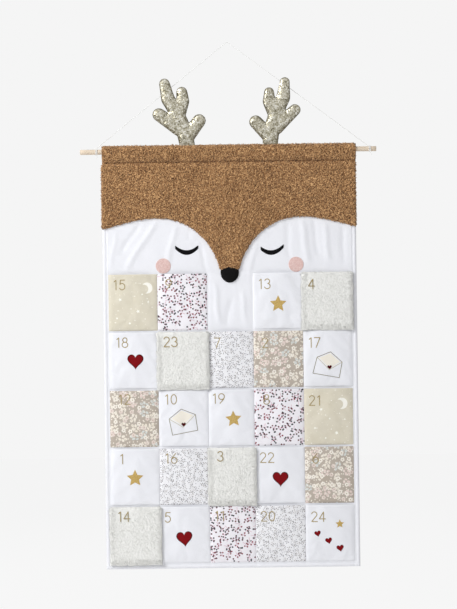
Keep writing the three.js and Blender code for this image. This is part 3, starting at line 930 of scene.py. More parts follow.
def tie(side, x, seed):
    """Two turns of cord round the rod from a small knot behind it, with a frayed tail in front."""
    wobble = random.Random(seed)
    radius = ROD_RADIUS + GAP + CORD_RADIUS
    turns = 2 * math.pi * TIE_TURNS + math.pi - KNOT_ANGLE
    path = []
    for k in range(TIE_STEPS + 1):
        angle = turns * k / TIE_STEPS
        across = angle / (2 * math.pi) * TIE_PITCH
        lean = KNOT_ANGLE + angle
        path.append((x + across, ROD_Y + radius * math.cos(lean), ROD_Z + radius * math.sin(lean)))
    last = Vector(path[-1])
    for k in range(1, TAIL_STEPS + 1):
        drop = TAIL * k / TAIL_STEPS
        sway = 0.25 * math.sin(drop * 0.4 + seed)
        path.append((last.x + sway, last.y - 0.1 * k, last.z - drop))
    parts = [tube(path, CORD_RADIUS, 10)]
    end = Vector(path[-1])
    for _ in range(FRAYS):
        away = Vector((wobble.uniform(-1, 1), wobble.uniform(-0.6, 0.6), -wobble.uniform(2, 3.4)))
        bend = [end + Vector((0, 0, CORD_RADIUS)), end + away * 0.5, end + away]
        parts.append(tube(bend, FRAY_RADII, 5))
    reach = ROD_RADIUS + GAP + KNOT_RADIUS
    middle = Vector((x, ROD_Y + reach * math.cos(KNOT_ANGLE), ROD_Z + reach * math.sin(KNOT_ANGLE)))
    knot = []
    for k in range(KNOT_STEPS + 1):
        t = 2 * math.pi * k / KNOT_STEPS
        out = 0.95 + 0.42 * math.cos(3 * t)
        knot.append(middle + Vector((out * math.cos(2 * t), 0.55 * math.sin(3 * t), out * math.sin(2 * t))))
    parts.append(tube(knot, KNOT_CORD, 8))
    piece = piece_of(f"{side}_cord_turns", *gather(parts))
    return dress(piece, CORD, "hanger", [f"cord_tie_{side}"])


cord = hanging_cord()
ties = [tie("left", box_of("cord_tie_left")[0][0] + KNOT_RADIUS, 1),
        tie("right", box_of("cord_tie_right")[0][0] + KNOT_RADIUS, 2)]


# Rod

ROD_CHAMFER = 0.8
ROD_RINGS = 60
ROD_SIDES = 48


def rod():
    """A turned rod with chamfered ends."""
    length = ROD_HIGH[0] - ROD_LOW[0]
    places = [0, *np.linspace(ROD_CHAMFER, length - ROD_CHAMFER, ROD_RINGS), length]
    path = [(ROD_LOW[0] + x, ROD_Y, ROD_Z) for x in places]
    radius = [ROD_RADIUS + 0.05 * noise.noise(Vector((x * 0.03, 0, 0))) for x in places]
    radius[0] = radius[-1] = ROD_RADIUS - ROD_CHAMFER
    piece = piece_of("wooden_rod", *tube(path, radius, ROD_SIDES))
    for polygon in piece.data.polygons:
        polygon.use_smooth = len(polygon.vertices) == 4
    return dress(piece, WOOD, "rod", ["rod"])


rod()


# Pockets' places

DAYS = [
    ["15", "09", "", "13", "04"],
    ["18", "23", "07", "02", "17"],
    ["12", "10", "19", "08", "21"],
    ["01", "16", "03", "22", "06"],
    ["14", "05", "11", "20", "24"],
]
FUR_DAYS = ["04", "23", "03", "14"]
SAND_DAYS = ["15", "21"]
TAUPE_DAYS = ["02", "12", "06"]
BERRY_DAYS = ["09", "08", "11"]
SPRIG_DAYS = ["07", "16", "20"]
POCKET_SPREAD = 1.25
PLACES = {day: box_of(f"pocket_{day}") for row in DAYS for day in row if day}
MIDDLES = {day: (low[0] + high[0]) / 2 for day, (low, high) in PLACES.items()}
HALVES = {day: (high[0] - low[0]) / 2 + POCKET_SPREAD for day, (low, high) in PLACES.items()}
SEWN = {day: (low[0] - POCKET_SPREAD, high[0] + POCKET_SPREAD) for day, (low, high) in PLACES.items()}
COLUMN_LEFTS = [min(PLACES[row[j]][0][0] for row in DAYS if row[j]) for j in range(5)]
COLUMN_RIGHTS = [max(PLACES[row[j]][1][0] for row in DAYS if row[j]) for j in range(5)]
ROW_LOWS = [min(PLACES[day][0][2] for day in row if day) for row in DAYS]
GRID_TOP = PLACES["15"][1][2]


# Quilt: the front cloth's relief, which the wadding under it shares

EDGE_ROUND = 4.5
GATHER = 2.7
STITCH_IN = 9.0
STITCH_WIDE = 1.6
SEAM_DEPTH = 0.9
SEAM_WIDE = 4.0
GRID_MARGIN = 4
QUILT_LOW, QUILT_HIGH = -2.0, 2.6
# how wide the closely spaced border of a cloth's grid is, and its fine and coarse steps
CLOTH_STEPS = (14, 1.0, 3.6)
BACK_STEPS = (14, 1.0, 5.0)
BACK_ACROSS_STEPS = (12, 1.5, 5.0)
WADDING_STEPS = (4, 2, 8)
CLOTH_RIM = 1.0
BACK_THICK = 0.9
WADDING_ROUND = 3.0
WADDING_RIM = 0.3
CREASES = [
    # from x, z to x, z, then half width and height, which is under 0 for a groove
    ((-168, -412), (-250, -545), 7.0, 2.2),
    ((-206, -418), (-262, -508), 6.0, -1.6),
    ((-126, -424), (-148, -532), 6.5, 1.5),
    ((-92, -430), (-96, -470), 5.0, -0.8),
    ((168, -412), (190, -536), 7.5, 2.1),
    ((134, -412), (144, -530), 6.5, -1.4),
    ((222, -420), (238, -534), 7.0, 1.9),
    ((196, -410), (214, -520), 6.0, -1.4),
    ((264, -424), (274, -536), 5.5, -1.4),
    ((-38, -560), (-24, -676), 5.5, 1.9),
    ((26, -580), (40, -680), 6.0, 1.7),
    ((2, -596), (-8, -680), 7.0, -1.5),
    ((-72, -474), (-50, -556), 5.0, -1.2),
    ((62, -470), (46, -560), 5.5, 1.4),
    ((-268, -440), (-282, -540), 5.0, 1.1),
]


# a crease sways from side to side this far and this often, and fades at its ends over a share of its length
SWAY, SWAYS = 2.0, 7
FADE = 0.25


def crease(x, z, start, end, width, height):
    """A soft ridge along a line, fading out at both ends."""
    (x0, z0), (x1, z1) = start, end
    dx, dz = x1 - x0, z1 - z0
    length = math.hypot(dx, dz)
    along = ((x - x0) * dx + (z - z0) * dz) / length**2
    across = ((x - x0) * dz - (z - z0) * dx) / length
    across = across + SWAY * np.sin(along * SWAYS)
    fade = smooth_step(along / FADE) * smooth_step((1 - along) / FADE)
    return height * fade * bell(across, width)


def border_of(x, z):
    """How far a place is from the panel's sides and foot."""
    return np.minimum(HALF_WIDTH - abs(x), z - FOOT_Z)


# each wave's height and size; the puckers lie along the border's stitches, in a band of this width
BROAD_WAVE = (0.35, 60.0)
SMALL_WAVE = (0.25, 26.0)
PUCKER_WAVE = (0.25, 7.0)
PUCKER_WIDE = 5.0


def quilt(x, z):
    """How far the front cloth stands proud of its flat place, in millimetres."""
    (broad, broad_size), (small, small_size), (pucker, pucker_size) = BROAD_WAVE, SMALL_WAVE, PUCKER_WAVE
    relief = broad * waves(x, z, broad_size, 1) + small * waves(x, z, small_size, 2)
    for start, end, width, height in CREASES:
        relief = relief + crease(x, z, start, end, width, height)
    lines = [(right + left) / 2 for right, left in zip(COLUMN_RIGHTS, COLUMN_LEFTS[1:])]
    lines += [COLUMN_LEFTS[0], COLUMN_RIGHTS[-1]]
    in_grid = smooth_step((GRID_TOP + GRID_MARGIN - z) / 8)
    for line in lines:
        relief = relief - SEAM_DEPTH * in_grid * bell(x - line, SEAM_WIDE)
    in_columns = smooth_step((COLUMN_RIGHTS[-1] + 6 - abs(x)) / 8)
    for low in [GRID_TOP + GRID_MARGIN, *ROW_LOWS]:
        relief = relief - SEAM_DEPTH * in_columns * bell(z - low + 2, SEAM_WIDE)
    from_stitch = border_of(x, z) - STITCH_IN
    relief = relief - SEAM_DEPTH * bell(from_stitch, STITCH_WIDE)
    relief = relief + pucker * waves(x, z, pucker_size, 5, 1) * bell(from_stitch, PUCKER_WIDE)
    return np.clip(relief, QUILT_LOW, QUILT_HIGH)


def stations(low, high, edge, fine, coarse, multiple=4):
    """Places from low to high, close together near both ends, a multiple of spaces in all."""
    near = np.arange(0, edge, fine)
    count = max(int((high - low - 2 * edge) / coarse), 1)
    count += (-(count + 2 * len(near))) % multiple
    return np.concatenate([low + near, np.linspace(low + edge, high - edge, count + 1), high - near[::-1]])


def edge_fall(border, width):
    """1 away from an edge and 0 on it, as a quarter circle of that width."""
    share = np.clip(border / width, 0, 1)
    return np.sqrt(np.clip(1 - (1 - share) ** 2, 0, 1))


# how far below the seam the gathers start, how tall they are and how far in from the left end they reach
GATHER_DOWN, GATHER_TALL, GATHER_WIDE = 12, 14, 60


def gathered(x, z):
    """X of the tunnel's cloths, drawn in a little at their left end, beside the cord's turns."""
    up = smooth_step((z - SEAM_Z + GATHER_DOWN) / GATHER_TALL)
    return x + GATHER * up * smooth_step((-x - HALF_WIDTH + GATHER_WIDE) / GATHER_WIDE)


def front_cloth():
    """The white front: quilted, rounded at its sides and foot, and closed behind."""
    x, z = spread(stations(-HALF_WIDTH, HALF_WIDTH, *CLOTH_STEPS),
                  stations(FOOT_Z, FRONT_HIGH[2], *CLOTH_STEPS))
    y = FRONT_SEAM_Y - (FRONT_SEAM_Y - FRONT_Y + quilt(x, z)) * edge_fall(border_of(x, z), EDGE_ROUND)
    inner = layer(x * (1 - CLOTH_RIM / HALF_WIDTH), np.minimum(y + CLOTH_RIM, FRONT_SEAM_Y),
                  np.maximum(z, FOOT_Z + CLOTH_RIM))
    piece = shell("front_cloth_face", layer(x, y, z), inner, 4)
    dress(piece, WHITE, "panel", ["front_cloth"])
    return piece


WADDING_BACK = 0.2


def wadding_layer():
    """The wadding between the two cloths, which follows the front's seams."""
    x, z = spread(stations(WADDING_LOW[0], WADDING_HIGH[0], *WADDING_STEPS),
                  stations(WADDING_LOW[2], WADDING_HIGH[2], *WADDING_STEPS))
    border = np.minimum(WADDING_HIGH[0] - abs(x), np.minimum(z - WADDING_LOW[2], WADDING_HIGH[2] - z))
    full = WADDING_RIM + (1 - WADDING_RIM) * edge_fall(border, WADDING_ROUND)
    front = SEAM_Y - (SEAM_Y - WADDING_LOW[1] + np.minimum(quilt(x, z), 0)) * full
    back = SEAM_Y + (WADDING_HIGH[1] - SEAM_Y - WADDING_BACK) * full
    piece = shell("wadding_layer", layer(x, front, z), layer(x, back, z))
    dress(piece, FILLING, "panel", ["wadding"])
    return piece


BACK_WAVE = (0.35, 70.0)
BACK_STITCH_DEPTH, BACK_STITCH_WIDE = 0.5, 1.8
BACK_LOW_RELIEF, BACK_HIGH_RELIEF = -0.8, 0.15


def back_cloth():
    """The plain back: flat on the wall, and up behind the rod to the top edge."""
    panel = [(BACK_Y, z) for z in stations(FOOT_Z, SEAM_Z - 6, *BACK_STEPS, 1)]
    angles = np.radians(np.linspace(180, BACK_SEAM_ANGLE, 12))
    over = np.stack([TUNNEL_Y - (TUNNEL_HALF - 0.3) * np.cos(angles),
                     ROD_Z + (TOP_Z - ROD_Z - 0.4) * np.sin(angles)], axis=1)
    rise = np.linspace(SEAM_Z - 4, ROD_Z, 11)[:-1]
    share = smooth_step((rise - SEAM_Z) / (ROD_Z - SEAM_Z))
    behind = BACK_Y + (over[0, 0] - BACK_Y) * share - 0.8 * bell(rise - SEAM_Z, STITCH_WIDE)
    behind = np.stack([behind, rise], axis=1)
    while (len(panel) + len(behind) + len(over) - 1) % 4:
        behind = np.insert(behind, 0, (BACK_Y, (panel[-1][1] + behind[0, 1]) / 2), axis=0)
    section = np.concatenate([panel, behind, over])
    x, y = spread(stations(-HALF_WIDTH, HALF_WIDTH, *BACK_ACROSS_STEPS)[::-1], section[:, 0])
    z = np.broadcast_to(section[:, 1], x.shape)
    border = border_of(x, z)
    fall = np.where(z < SEAM_Z - 2, edge_fall(border, EDGE_ROUND), 1.0)
    height, size = BACK_WAVE
    relief = height * waves(x, z, size, 11) - BACK_STITCH_DEPTH * bell(border - STITCH_IN, BACK_STITCH_WIDE)
    relief = np.where(z < SEAM_Z, np.clip(relief, BACK_LOW_RELIEF, BACK_HIGH_RELIEF), 0)
    y = BACK_SEAM_Y + (y + relief - BACK_SEAM_Y) * fall
    outer = layer(gathered(x, z), y, z)
    inner = outer - BACK_THICK * normals_of(outer)
    inner[..., 1] = np.where(z < SEAM_Z, np.maximum(inner[..., 1], BACK_SEAM_Y), inner[..., 1])
    piece = shell("back_cloth", outer, inner, 4)
    dress(piece, WHITE, None, ["back_lining"])
    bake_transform(piece)
    return piece


front_cloth()
wadding_layer()
back_cloth()


# Plush hood

HOOD_SIDE = 196
ARCH_DEPTH = 171
ARCH_OUT = 172
MUZZLE_DEPTH = 294
MUZZLE_HALF = 23
HOOD_SHARES = {"side_out": 0.87, "side_low": 0.95, "arch_lean": 0.72, "arch_run": 0.38,
               "muzzle_lean": 0.07, "muzzle_rise": 0.59}
HOOD_SIDE_Z = TOP_Z - HOOD_SIDE + 6
HOOD_OVER = 1.2
HOOD_ROUND = 5.0
HOOD_SIDE_ARC = 11.0
HOOD_COLUMNS = 4 * 102 + 1
HOOD_ROWS = 136
HOOD_FLARE = 10
PLUSH = 4.4
CREST = 1.0
GROOVE_IN = 0.9
GROOVE_DOWN = 0.3
GROOVE_WIDE = 1.8
PANEL_REACH = 16
SECTION_STEP = 1.5
CURL_MARGIN = 10
TUCK = 3.4
CURL_HEIGHT = 2.3
CURL_SPACING, CURL_RADIUS = 3.3, 2.1
TEDDY_YARN = {"size": 1.45, "sweep": (-30, 185), "rise": 1.15, "run": 0.9, "rings": 5,
              "thick": 0.5, "spread": 1.0}
TEDDY_COUNT = 7200
# room that the curls leave round the antlers' feet and beside the cord when the cloth is far left
ANTLER_OUTS = {-1: 96.0, 1: 99.5}
ANTLER_FOOT = 19.0
CORD_ROOM = 4.5
FARTHEST_LEFT = 8.5
FAR_AWAY = 30.0

STITCH_LONG, STITCH_GAP, STITCH_RADIUS = 3.4, 0.9, 0.32
STITCH_PROUD = 0.15
# along one thread: its places, how far each dips into the cloth, and how full it is there
THREAD_PLACES = np.array([0, 0.25, 0.5, 0.75, 1])
THREAD_DIPS = np.array([0.45, 0, -0.1, 0, 0.45])
THREAD_FULLS = np.array([0.6, 1, 1, 1, 0.6])


def border_stitches():
    """Short threads end to end round the panel's sides and foot."""
    inset, low = HALF_WIDTH - STITCH_IN, FOOT_Z + STITCH_IN
    corners = [(-inset, HOOD_SIDE_Z), (-inset, low), (inset, low), (inset, HOOD_SIDE_Z)]
    share = np.linspace(0, 1, 400)
    sides = []
    for (x0, z0), (x1, z1) in zip(corners, corners[1:]):
        x, z = x0 + (x1 - x0) * share, z0 + (z1 - z0) * share
        sides.append(np.stack([x, FRONT_Y - quilt(x, z) - STITCH_PROUD, z], axis=1))
    line = np.concatenate(sides)
    at = run_of(line)
    start = STITCH_GAP
    parts = []
    while start + STITCH_LONG < at[-1]:
        places = start + STITCH_LONG * THREAD_PLACES
        path = np.stack([np.interp(places, at, line[:, axis]) for axis in range(3)], axis=1)
        path[:, 1] += THREAD_DIPS
        parts.append(tube(path, STITCH_RADIUS * THREAD_FULLS, 5))
        start += STITCH_LONG + STITCH_GAP
    return dress(piece_of("border_stitches", *gather(parts)), WHITE, "panel")


def bezier(points, count):
    """Points along a curve with four control points."""
    a, b, c, d = (np.array(p, float) for p in points)
    t = np.linspace(0, 1, count)[:, None]
    return (1 - t) ** 3 * a + 3 * t * (1 - t) ** 2 * b + 3 * t * t * (1 - t) * c + t**3 * d


def hood_edge():
    """Right half of the hood's lower edge, from the middle out, as x and z."""
    side, shares = HALF_WIDTH, HOOD_SHARES
    lean = MUZZLE_HALF + (ARCH_OUT - MUZZLE_HALF) * shares["muzzle_lean"]
    rise = -ARCH_DEPTH - (MUZZLE_DEPTH - ARCH_DEPTH) * shares["muzzle_rise"]
    inner = MUZZLE_HALF + (ARCH_OUT - MUZZLE_HALF) * shares["arch_run"]
    outer = side * shares["arch_lean"]
    crown = (ARCH_OUT, -ARCH_DEPTH)
    arch = bezier([(MUZZLE_HALF, -MUZZLE_DEPTH), (lean, rise), (inner, -ARCH_DEPTH), crown], 200)
    fall = bezier([crown, (outer, -ARCH_DEPTH),
                   (side * shares["side_out"], -HOOD_SIDE * shares["side_low"]), (side, -HOOD_SIDE)], 120)
    edge = np.concatenate([[(0, -MUZZLE_DEPTH)], arch, fall[1:], [(side + HOOD_FLARE, -HOOD_SIDE - 1)]])
    edge[:, 1] += TOP_Z
    return edge


def hood_section():
    """The plush's outside seen from the side, as y and z, from below the stitched line over the rod."""
    front = OUTSIDE_Y - PLUSH
    groove = (OUTSIDE_Y - GROOVE_IN, SEAM_Z - GROOVE_DOWN)
    low = SEAM_Z - PANEL_REACH
    share = np.linspace(0, 1, 40)
    dip = np.stack([front + (groove[0] - front) * share**2.2, low + (groove[1] - low) * share], axis=1)
    swell = bezier([groove, (groove[0] - 5.5, groove[1] + 1.5), (TUNNEL_LOW[1] + 1.2, ROD_Z - 8),
                    (TUNNEL_LOW[1] + 0.8, ROD_Z)], 40)
    angle = np.radians(np.linspace(0, BACK_SEAM_ANGLE, 60))
    over = np.stack([TUNNEL_Y - (TUNNEL_HALF - 0.8) * np.cos(angle),
                     ROD_Z + (TOP_Z - ROD_Z + CREST) * np.sin(angle)], axis=1)
    path = np.concatenate([dip, swell[1:], over[1:]])
    at = run_of(path)
    count = 4 * int(at[-1] / SECTION_STEP / 4)
    places = np.linspace(0, at[-1], count + 1)
    return np.stack([np.interp(places, at, path[:, k]) for k in (0, 1)], axis=1), places


def distance_to(line, x, z):
    """Distance from each place to the nearest point of a line, up to far away."""
    found = np.full(x.shape, FAR_AWAY)
    for i in range(x.shape[0]):
        near = line[abs(line[:, 0] - x[i, 0]) < FAR_AWAY]
        away = np.hypot(x[i][:, None] - near[None, :, 0], z[i][:, None] - near[None, :, 1])
        found[i] = np.minimum(found[i], away.min(axis=1))
    return found


def under_the_nose(x, z):
    """1 where the nose lies on the muzzle, and 0 elsewhere."""
    middle, half = (NOSE_LOW[2] + NOSE_HIGH[2]) / 2, (NOSE_HIGH[2] - NOSE_LOW[2]) / 2 - 2
    return smooth_step((1.0 - np.hypot(x / (NOSE_HIGH[0] - 2.0), (z - middle) / half)) / 0.15)


# from the stitched line up, how far on the plush's inner layer turns round the rod, and where it grows thick
TURN_START, TURN_LENGTH = 14.0, 4.0
WRAP_START, WRAP_LENGTH = 17.0, 8.0
WRAP_THIN, WRAP_THICK = 0.7, 3.0
INNER_TUCK = 0.9


def hood_inside(x, z, base, normals, at, tuck):
    """The plush's inner layer: on the front cloth below, and round the rod above the stitched line."""
    inner = layer(x * (HALF_WIDTH + 0.4) / (HALF_WIDTH + HOOD_OVER), OUTSIDE_Y, z)
    side_fall = edge_fall(HALF_WIDTH + 0.5 - abs(inner[..., 0]), EDGE_ROUND)
    inner[..., 1] = SEAM_Y - GAP + (OUTSIDE_Y - SEAM_Y + GAP) * side_fall
    over = (slice(None), slice(HOOD_ROWS, None))
    thick = WRAP_THIN + WRAP_THICK * smooth_step((at - WRAP_START) / WRAP_LENGTH)
    wrapped = base[over] - normals[over] * (thick[None, :, None] - tuck[over][..., None] * INNER_TUCK)
    use = smooth_step((at - TURN_START) / TURN_LENGTH)[None, :, None]
    inner[over] = inner[over] * (1 - use) + wrapped * use
    return inner


def hood_curls(x, z, outer, normals, share):
    """Curls over the hood, left out round the antlers' feet and where the cord may come."""
    near_foot = np.minimum(*(abs(x - side * ANTLER_OUTS[side]) for side in (-1, 1))) < ANTLER_FOOT
    (x0, y0, z0), (x1, _, z1) = CORD_ROUTE[:2]
    off_cord = (x - FARTHEST_LEFT - x0) * (z1 - z0) - (z - z0) * (x1 - x0)
    near_cord = np.hypot(off_cord / math.hypot(x1 - x0, z1 - z0), outer[..., 1] - y0) < CORD_ROOM
    share = share * (1 - near_foot * (z > ROD_Z)) * (1 - near_cord * (x < x1))
    curls = pile_yarns("plush_hood_curls", outer, normals, TEDDY_COUNT, TEDDY_YARN, 17, share)
    dress(curls, BROWN_PILE, None)
    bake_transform(curls)


# each wave's height and size, how far the nose presses the plush in, and the pile where there are no curls
EDGE_WAVER = (0.5, 6.0)
HOOD_WAVE = (0.5, 45.0)
CURL_WAVE = (0.4, 14.0)
NOSE_PRESS = 0.8
BARE_PILE, MIDDLE_TONE = 0.2, 0.5


def plush_hood():
    """The hood and the tunnel round the rod: one plush cloth, with its curls."""
    edge = hood_edge()
    dense = np.stack([np.interp(np.arange(0, len(edge) - 1, 0.25), np.arange(len(edge)), edge[:, k])
                      for k in (0, 1)], axis=1)
    line = np.concatenate([dense * (-1, 1), dense])
    section, at = hood_section()
    flat = HALF_WIDTH + HOOD_OVER - HOOD_ROUND
    s = np.linspace(-flat - HOOD_SIDE_ARC, flat + HOOD_SIDE_ARC, HOOD_COLUMNS)
    turn = np.clip((abs(s) - flat) / HOOD_SIDE_ARC, 0, 1) * math.pi / 2
    across = np.sign(s) * (np.minimum(abs(s), flat) + HOOD_ROUND * np.sin(turn))
    waver, waver_size = EDGE_WAVER
    low = np.interp(abs(across), edge[:, 0], edge[:, 1]) + waver * plain_noise(s / waver_size, 3.1, 0)
    share = (np.arange(HOOD_ROWS) / HOOD_ROWS) ** 1.25
    z_panel = low[:, None] + (section[0][1] - low[:, None]) * share[None, :]
    over = np.broadcast_to(section, (HOOD_COLUMNS, *section.shape))
    z = np.concatenate([z_panel, over[..., 1]], axis=1)
    y = np.concatenate([np.full(z_panel.shape, OUTSIDE_Y - PLUSH), over[..., 0]], axis=1)
    x = gathered(np.broadcast_to(across[:, None], z.shape), z)
    border = np.full(z.shape, FAR_AWAY)
    border[:, :HOOD_ROWS] = distance_to(line, x[:, :HOOD_ROWS], z[:, :HOOD_ROWS])
    border[:, 0] = 0
    fall = edge_fall(border, HOOD_ROUND)
    row = np.arange(z.shape[1])[None, :]
    is_panel = np.where(row < HOOD_ROWS, 1.0, smooth_step((SEAM_Z + 4 - z) / 8))
    under_nose = under_the_nose(x, z)
    pressed = 1 - NOSE_PRESS * under_nose * is_panel
    y = OUTSIDE_Y + (y - OUTSIDE_Y) * np.where(is_panel > 0.5, fall, 1) * pressed
    height, size = HOOD_WAVE
    y = y - height * is_panel * fall * waves(x, z, size, 21)
    base = layer(x, y, z)
    side_normals = normals_of(base)
    side_normals[..., 0] = 0
    side_normals /= np.linalg.norm(side_normals, axis=2, keepdims=True)
    tuck = (1 - np.cos(turn))[:, None] * (TUCK + (OUTSIDE_Y - PLUSH - SEAM_Y) * -is_panel - TUCK * is_panel)
    base = base - side_normals * tuck[..., None]
    lowest = low.min()
    tall = SEAM_Z - PANEL_REACH - lowest + at[-1] + CURL_MARGIN
    heights, tones = curl_map(2 * s[-1] + CURL_MARGIN, tall, CURL_SPACING, CURL_RADIUS, 5)
    above = np.broadcast_to(at + section[0][1] - lowest + 2, (HOOD_COLUMNS, len(at)))
    up = np.concatenate([z_panel - lowest + 2, above], axis=1)
    along = np.broadcast_to((s - s[0] + 3)[:, None], up.shape)
    pile_height, tone = read_map(heights, along, up), read_map(tones, along, up)
    groove = bell(z - SEAM_Z + GROOVE_DOWN, GROOVE_WIDE) * (row >= HOOD_ROWS)
    lift = CURL_HEIGHT * (pile_height - 0.45) * (1 - 0.75 * groove) * (1 - under_nose)
    height, size = CURL_WAVE
    lift = lift + height * waves(along, up, size, 8)
    normals = normals_of(base)
    outer = base + normals * lift[..., None]
    piece = shell("plush_hood_cloth", outer, hood_inside(x, z, base, side_normals, at, tuck), 4)
    # the pile is stored lower in the groove under the rod, which paints shade there
    store_outside(piece, "pile", pile_height * (1 - 0.6 * groove), BARE_PILE)
    store_outside(piece, "tone", tone, MIDDLE_TONE)
    dress(piece, BROWN_PILE, None, ["plush_hood", "rod_tunnel"])
    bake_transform(piece)
    hood_curls(x, z, outer, normals, (1 - 0.8 * groove) * (1 - under_nose) * (1 + 1.2 * (border < 5)))


border_stitches()
plush_hood()


# Nose, eyes and cheeks


def on_cloth(x, z):
    """The front cloth's outside there."""
    return FRONT_Y - quilt(np.asarray(x, float), np.asarray(z, float)) - 0.1


def laid(name, rows, sink):
    """A closed piece that lies on the front cloth, from the rows of points of its outside."""
    grid = np.stack(rows, axis=1)
    back = grid.copy()
    back[..., 1] = on_cloth(grid[..., 0], grid[..., 2]) + sink
    return shell(name, grid, back)


DOME_POWER = 2.2
DOME_RINGS = 15
PUCKERS = 17


def dome(name, outline, middle, height):
    """A padded shape over an outline of x and z, flat behind and turned under round its edge."""
    rings = np.sin(np.linspace(0.04, 1, DOME_RINGS) * math.pi / 2)
    points, faces = [], []
    count = len(outline)
    for ring in rings:
        flat = middle + (outline - middle) * ring
        rise = height * (1 - ring**DOME_POWER) ** 0.55
        pucker = 0.35 * np.sin(np.arange(count) * 2 * math.pi / count * PUCKERS) * ring**6
        pucker = pucker + 0.25 * waves(flat[:, 0], flat[:, 1], 9.0, 31)
        y = OUTSIDE_Y - rise - pucker * (1 - ring**8)
        points.extend(np.stack([flat[:, 0], y, flat[:, 1]], axis=1))
    points.append((middle[0], OUTSIDE_Y - height, middle[1]))
    top = len(points) - 1
    for k in range(count):
        following = (k + 1) % count
        faces.append([top, following, k])
        for i in range(len(rings) - 1):
            a, b = i * count + k, i * count + following
            faces.append([a, b, b + count, a + count])
    last = (len(rings) - 1) * count
    points.extend(np.stack([outline[:, 0], np.full(count, OUTSIDE_Y + 0.05), outline[:, 1]], axis=1))
    for k in range(count):
        following = (k + 1) % count
        faces.append([last + k, last + following, top + 1 + following, top + 1 + k])
    faces.append([top + 1 + k for k in range(count)])
    return piece_of(name, points, faces)


NOSE_SHARES = {"shoulder": 0.36, "brow": 0.1, "crown": 0.72, "jaw": 0.26, "chin": 0.5}
NOSE_INSET = 0.2


def nose():
    """The padded nose: broad above, narrow and round below."""
    half = NOSE_HIGH[0] - NOSE_INSET
    high, low = NOSE_HIGH[2] - NOSE_INSET, NOSE_LOW[2] + NOSE_INSET
    tall, shares = high - low, NOSE_SHARES
    shoulder, brow, jaw = (high - tall * shares["shoulder"], high - tall * shares["brow"],
                           low + tall * shares["jaw"])
    crown, chin = half * shares["crown"], half * shares["chin"]
    upper = bezier([(0, high), (crown, high), (half, brow), (half, shoulder)], 25)
    lower = bezier([(half, shoulder), (half, jaw), (chin, low), (0, low)], 25)
    right = np.concatenate([upper[:-1], lower[:-1]])
    left = np.concatenate([lower[:0:-1], upper[:0:-1]]) * (-1, 1)
    outline = np.concatenate([right, left])[::-1]
    piece = dome("nose_pad", outline, np.array([0, (high + low) / 2]), OUTSIDE_Y - NOSE_LOW[1] - 0.3)
    dress(piece, BLACK, "panel", ["nose"])
    return piece


EYE_DROP = 13.8
EYE_END = 1.2
EYE_FULL = 11.0
EYE_TILTS = {"eye_left": 0.0, "eye_right": 5.0}
EYE_LOWER = {"eye_left": 0.0, "eye_right": 2.5}
EYE_THREAD = 1.2
EYE_ROWS = 11
CHEEK_SIDES = 96
CHEEK_RINGS = np.array([0.0, 0.25, 0.45, 0.62, 0.76, 0.86, 0.92, 0.96, 0.985, 1.0])
FELT_RISE = 0.95


def eye(name):
    """A sleeping lid, embroidered: threads across a curved line with blunt ends."""
    low, high = box_of(name)
    middle, half = (low[0] + high[0]) / 2, (high[0] - low[0]) / 2
    t = np.linspace(0.012, 0.988, 181)
    x = middle - half + 2 * half * t
    tilt = math.tan(math.radians(EYE_TILTS[name])) * (x - middle) - EYE_LOWER[name]
    centre = high[2] - EYE_END - 4 * EYE_DROP * t * (1 - t) + tilt
    stroke = EYE_FULL / 2 * (0.78 + 0.22 * np.sin(math.pi * t)) * edge_fall(np.minimum(t, 1 - t), 0.05)
    outer, inner = centre - stroke, centre + stroke
    at = run_of(np.stack([x, centre], axis=1))
    across = np.linspace(-1, 1, EYE_ROWS)
    ragged = 0.14 * plain_noise(at * 1.9, middle, 0)
    rows = []
    for s in across:
        z = (outer + inner) / 2 + ((inner - outer) / 2 + ragged) * s
        rise = EYE_THREAD * math.sqrt(1 - s * s) * np.minimum(1, (inner - outer) / 3.0)
        rise = rise * (1 - 0.1 * abs(np.sin(at * math.pi / 0.9)))
        rows.append(np.stack([x, on_cloth(x, z) - rise, z], axis=1))
    piece = laid(name.replace("eye", "sewn_lid"), rows, 0.15)
    along = np.repeat(at[:, None], len(across), axis=1).ravel()
    store(piece, "along", np.concatenate([along, along]))
    return dress(piece, THREAD, "panel", [name])


def cheek(name):
    """A felt disc, with a dent round its edge where it is sewn down."""
    low, high = box_of(name)
    middle = np.array([(low[0] + high[0]) / 2, (low[2] + high[2]) / 2])
    radius = (high[0] - low[0]) / 2
    angles = np.linspace(0, 2 * math.pi, CHEEK_SIDES + 1)
    rim = radius - 0.2 + 0.22 * plain_noise(3 * np.cos(angles), 3 * np.sin(angles), middle[0])
    rings = []
    for share in CHEEK_RINGS[::-1]:
        x, z = middle[0] + rim * share * np.cos(angles), middle[1] + rim * share * np.sin(angles)
        inside = radius * (1 - share)
        rise = FELT_RISE * edge_fall(inside, 1.1) - 0.35 * bell(inside - 2.2, 0.9)
        rings.append(np.stack([x, on_cloth(x, z) - rise - 0.12 * waves(x, z, 3.0, 41), z], axis=1))
    piece = laid(name.replace("cheek", "felt_cheek"), rings, 0.1)
    return dress(piece, FELT, "panel", [name])


nose()
for side in ("left", "right"):
    eye(f"eye_{side}")
    cheek(f"cheek_{side}")


# Pockets

COTTON_THICK = 0.8
COTTON_RISE = 3.2
MOUTH_RISE = 1.9
HEM = 9.0
FUR_RISE = 7.0
FUR_PILE = 0.75
FUR_OVER = 5.0
FUR_TURN = 9.0
FUR_MARGIN = 3
FUR_CURL_SPACING, FUR_CURL_RADIUS = 4.4, 2.8
FUR_YARN = {"size": 3.6, "sweep": (-20, 80), "rise": 0.24, "run": 1.0, "rings": 4,
            "thick": 0.26, "spread": 0.8}
FUR_COUNT = 2600
FUR_FRINGE = 2.0
# columns in half a pocket, how they close up at its sides, and its rows' border and steps
COTTON_GRID = (28, 1.3, (10, 1.0, 2.7))
FUR_GRID = (48, 1.1, (8, 1.0, 1.3))


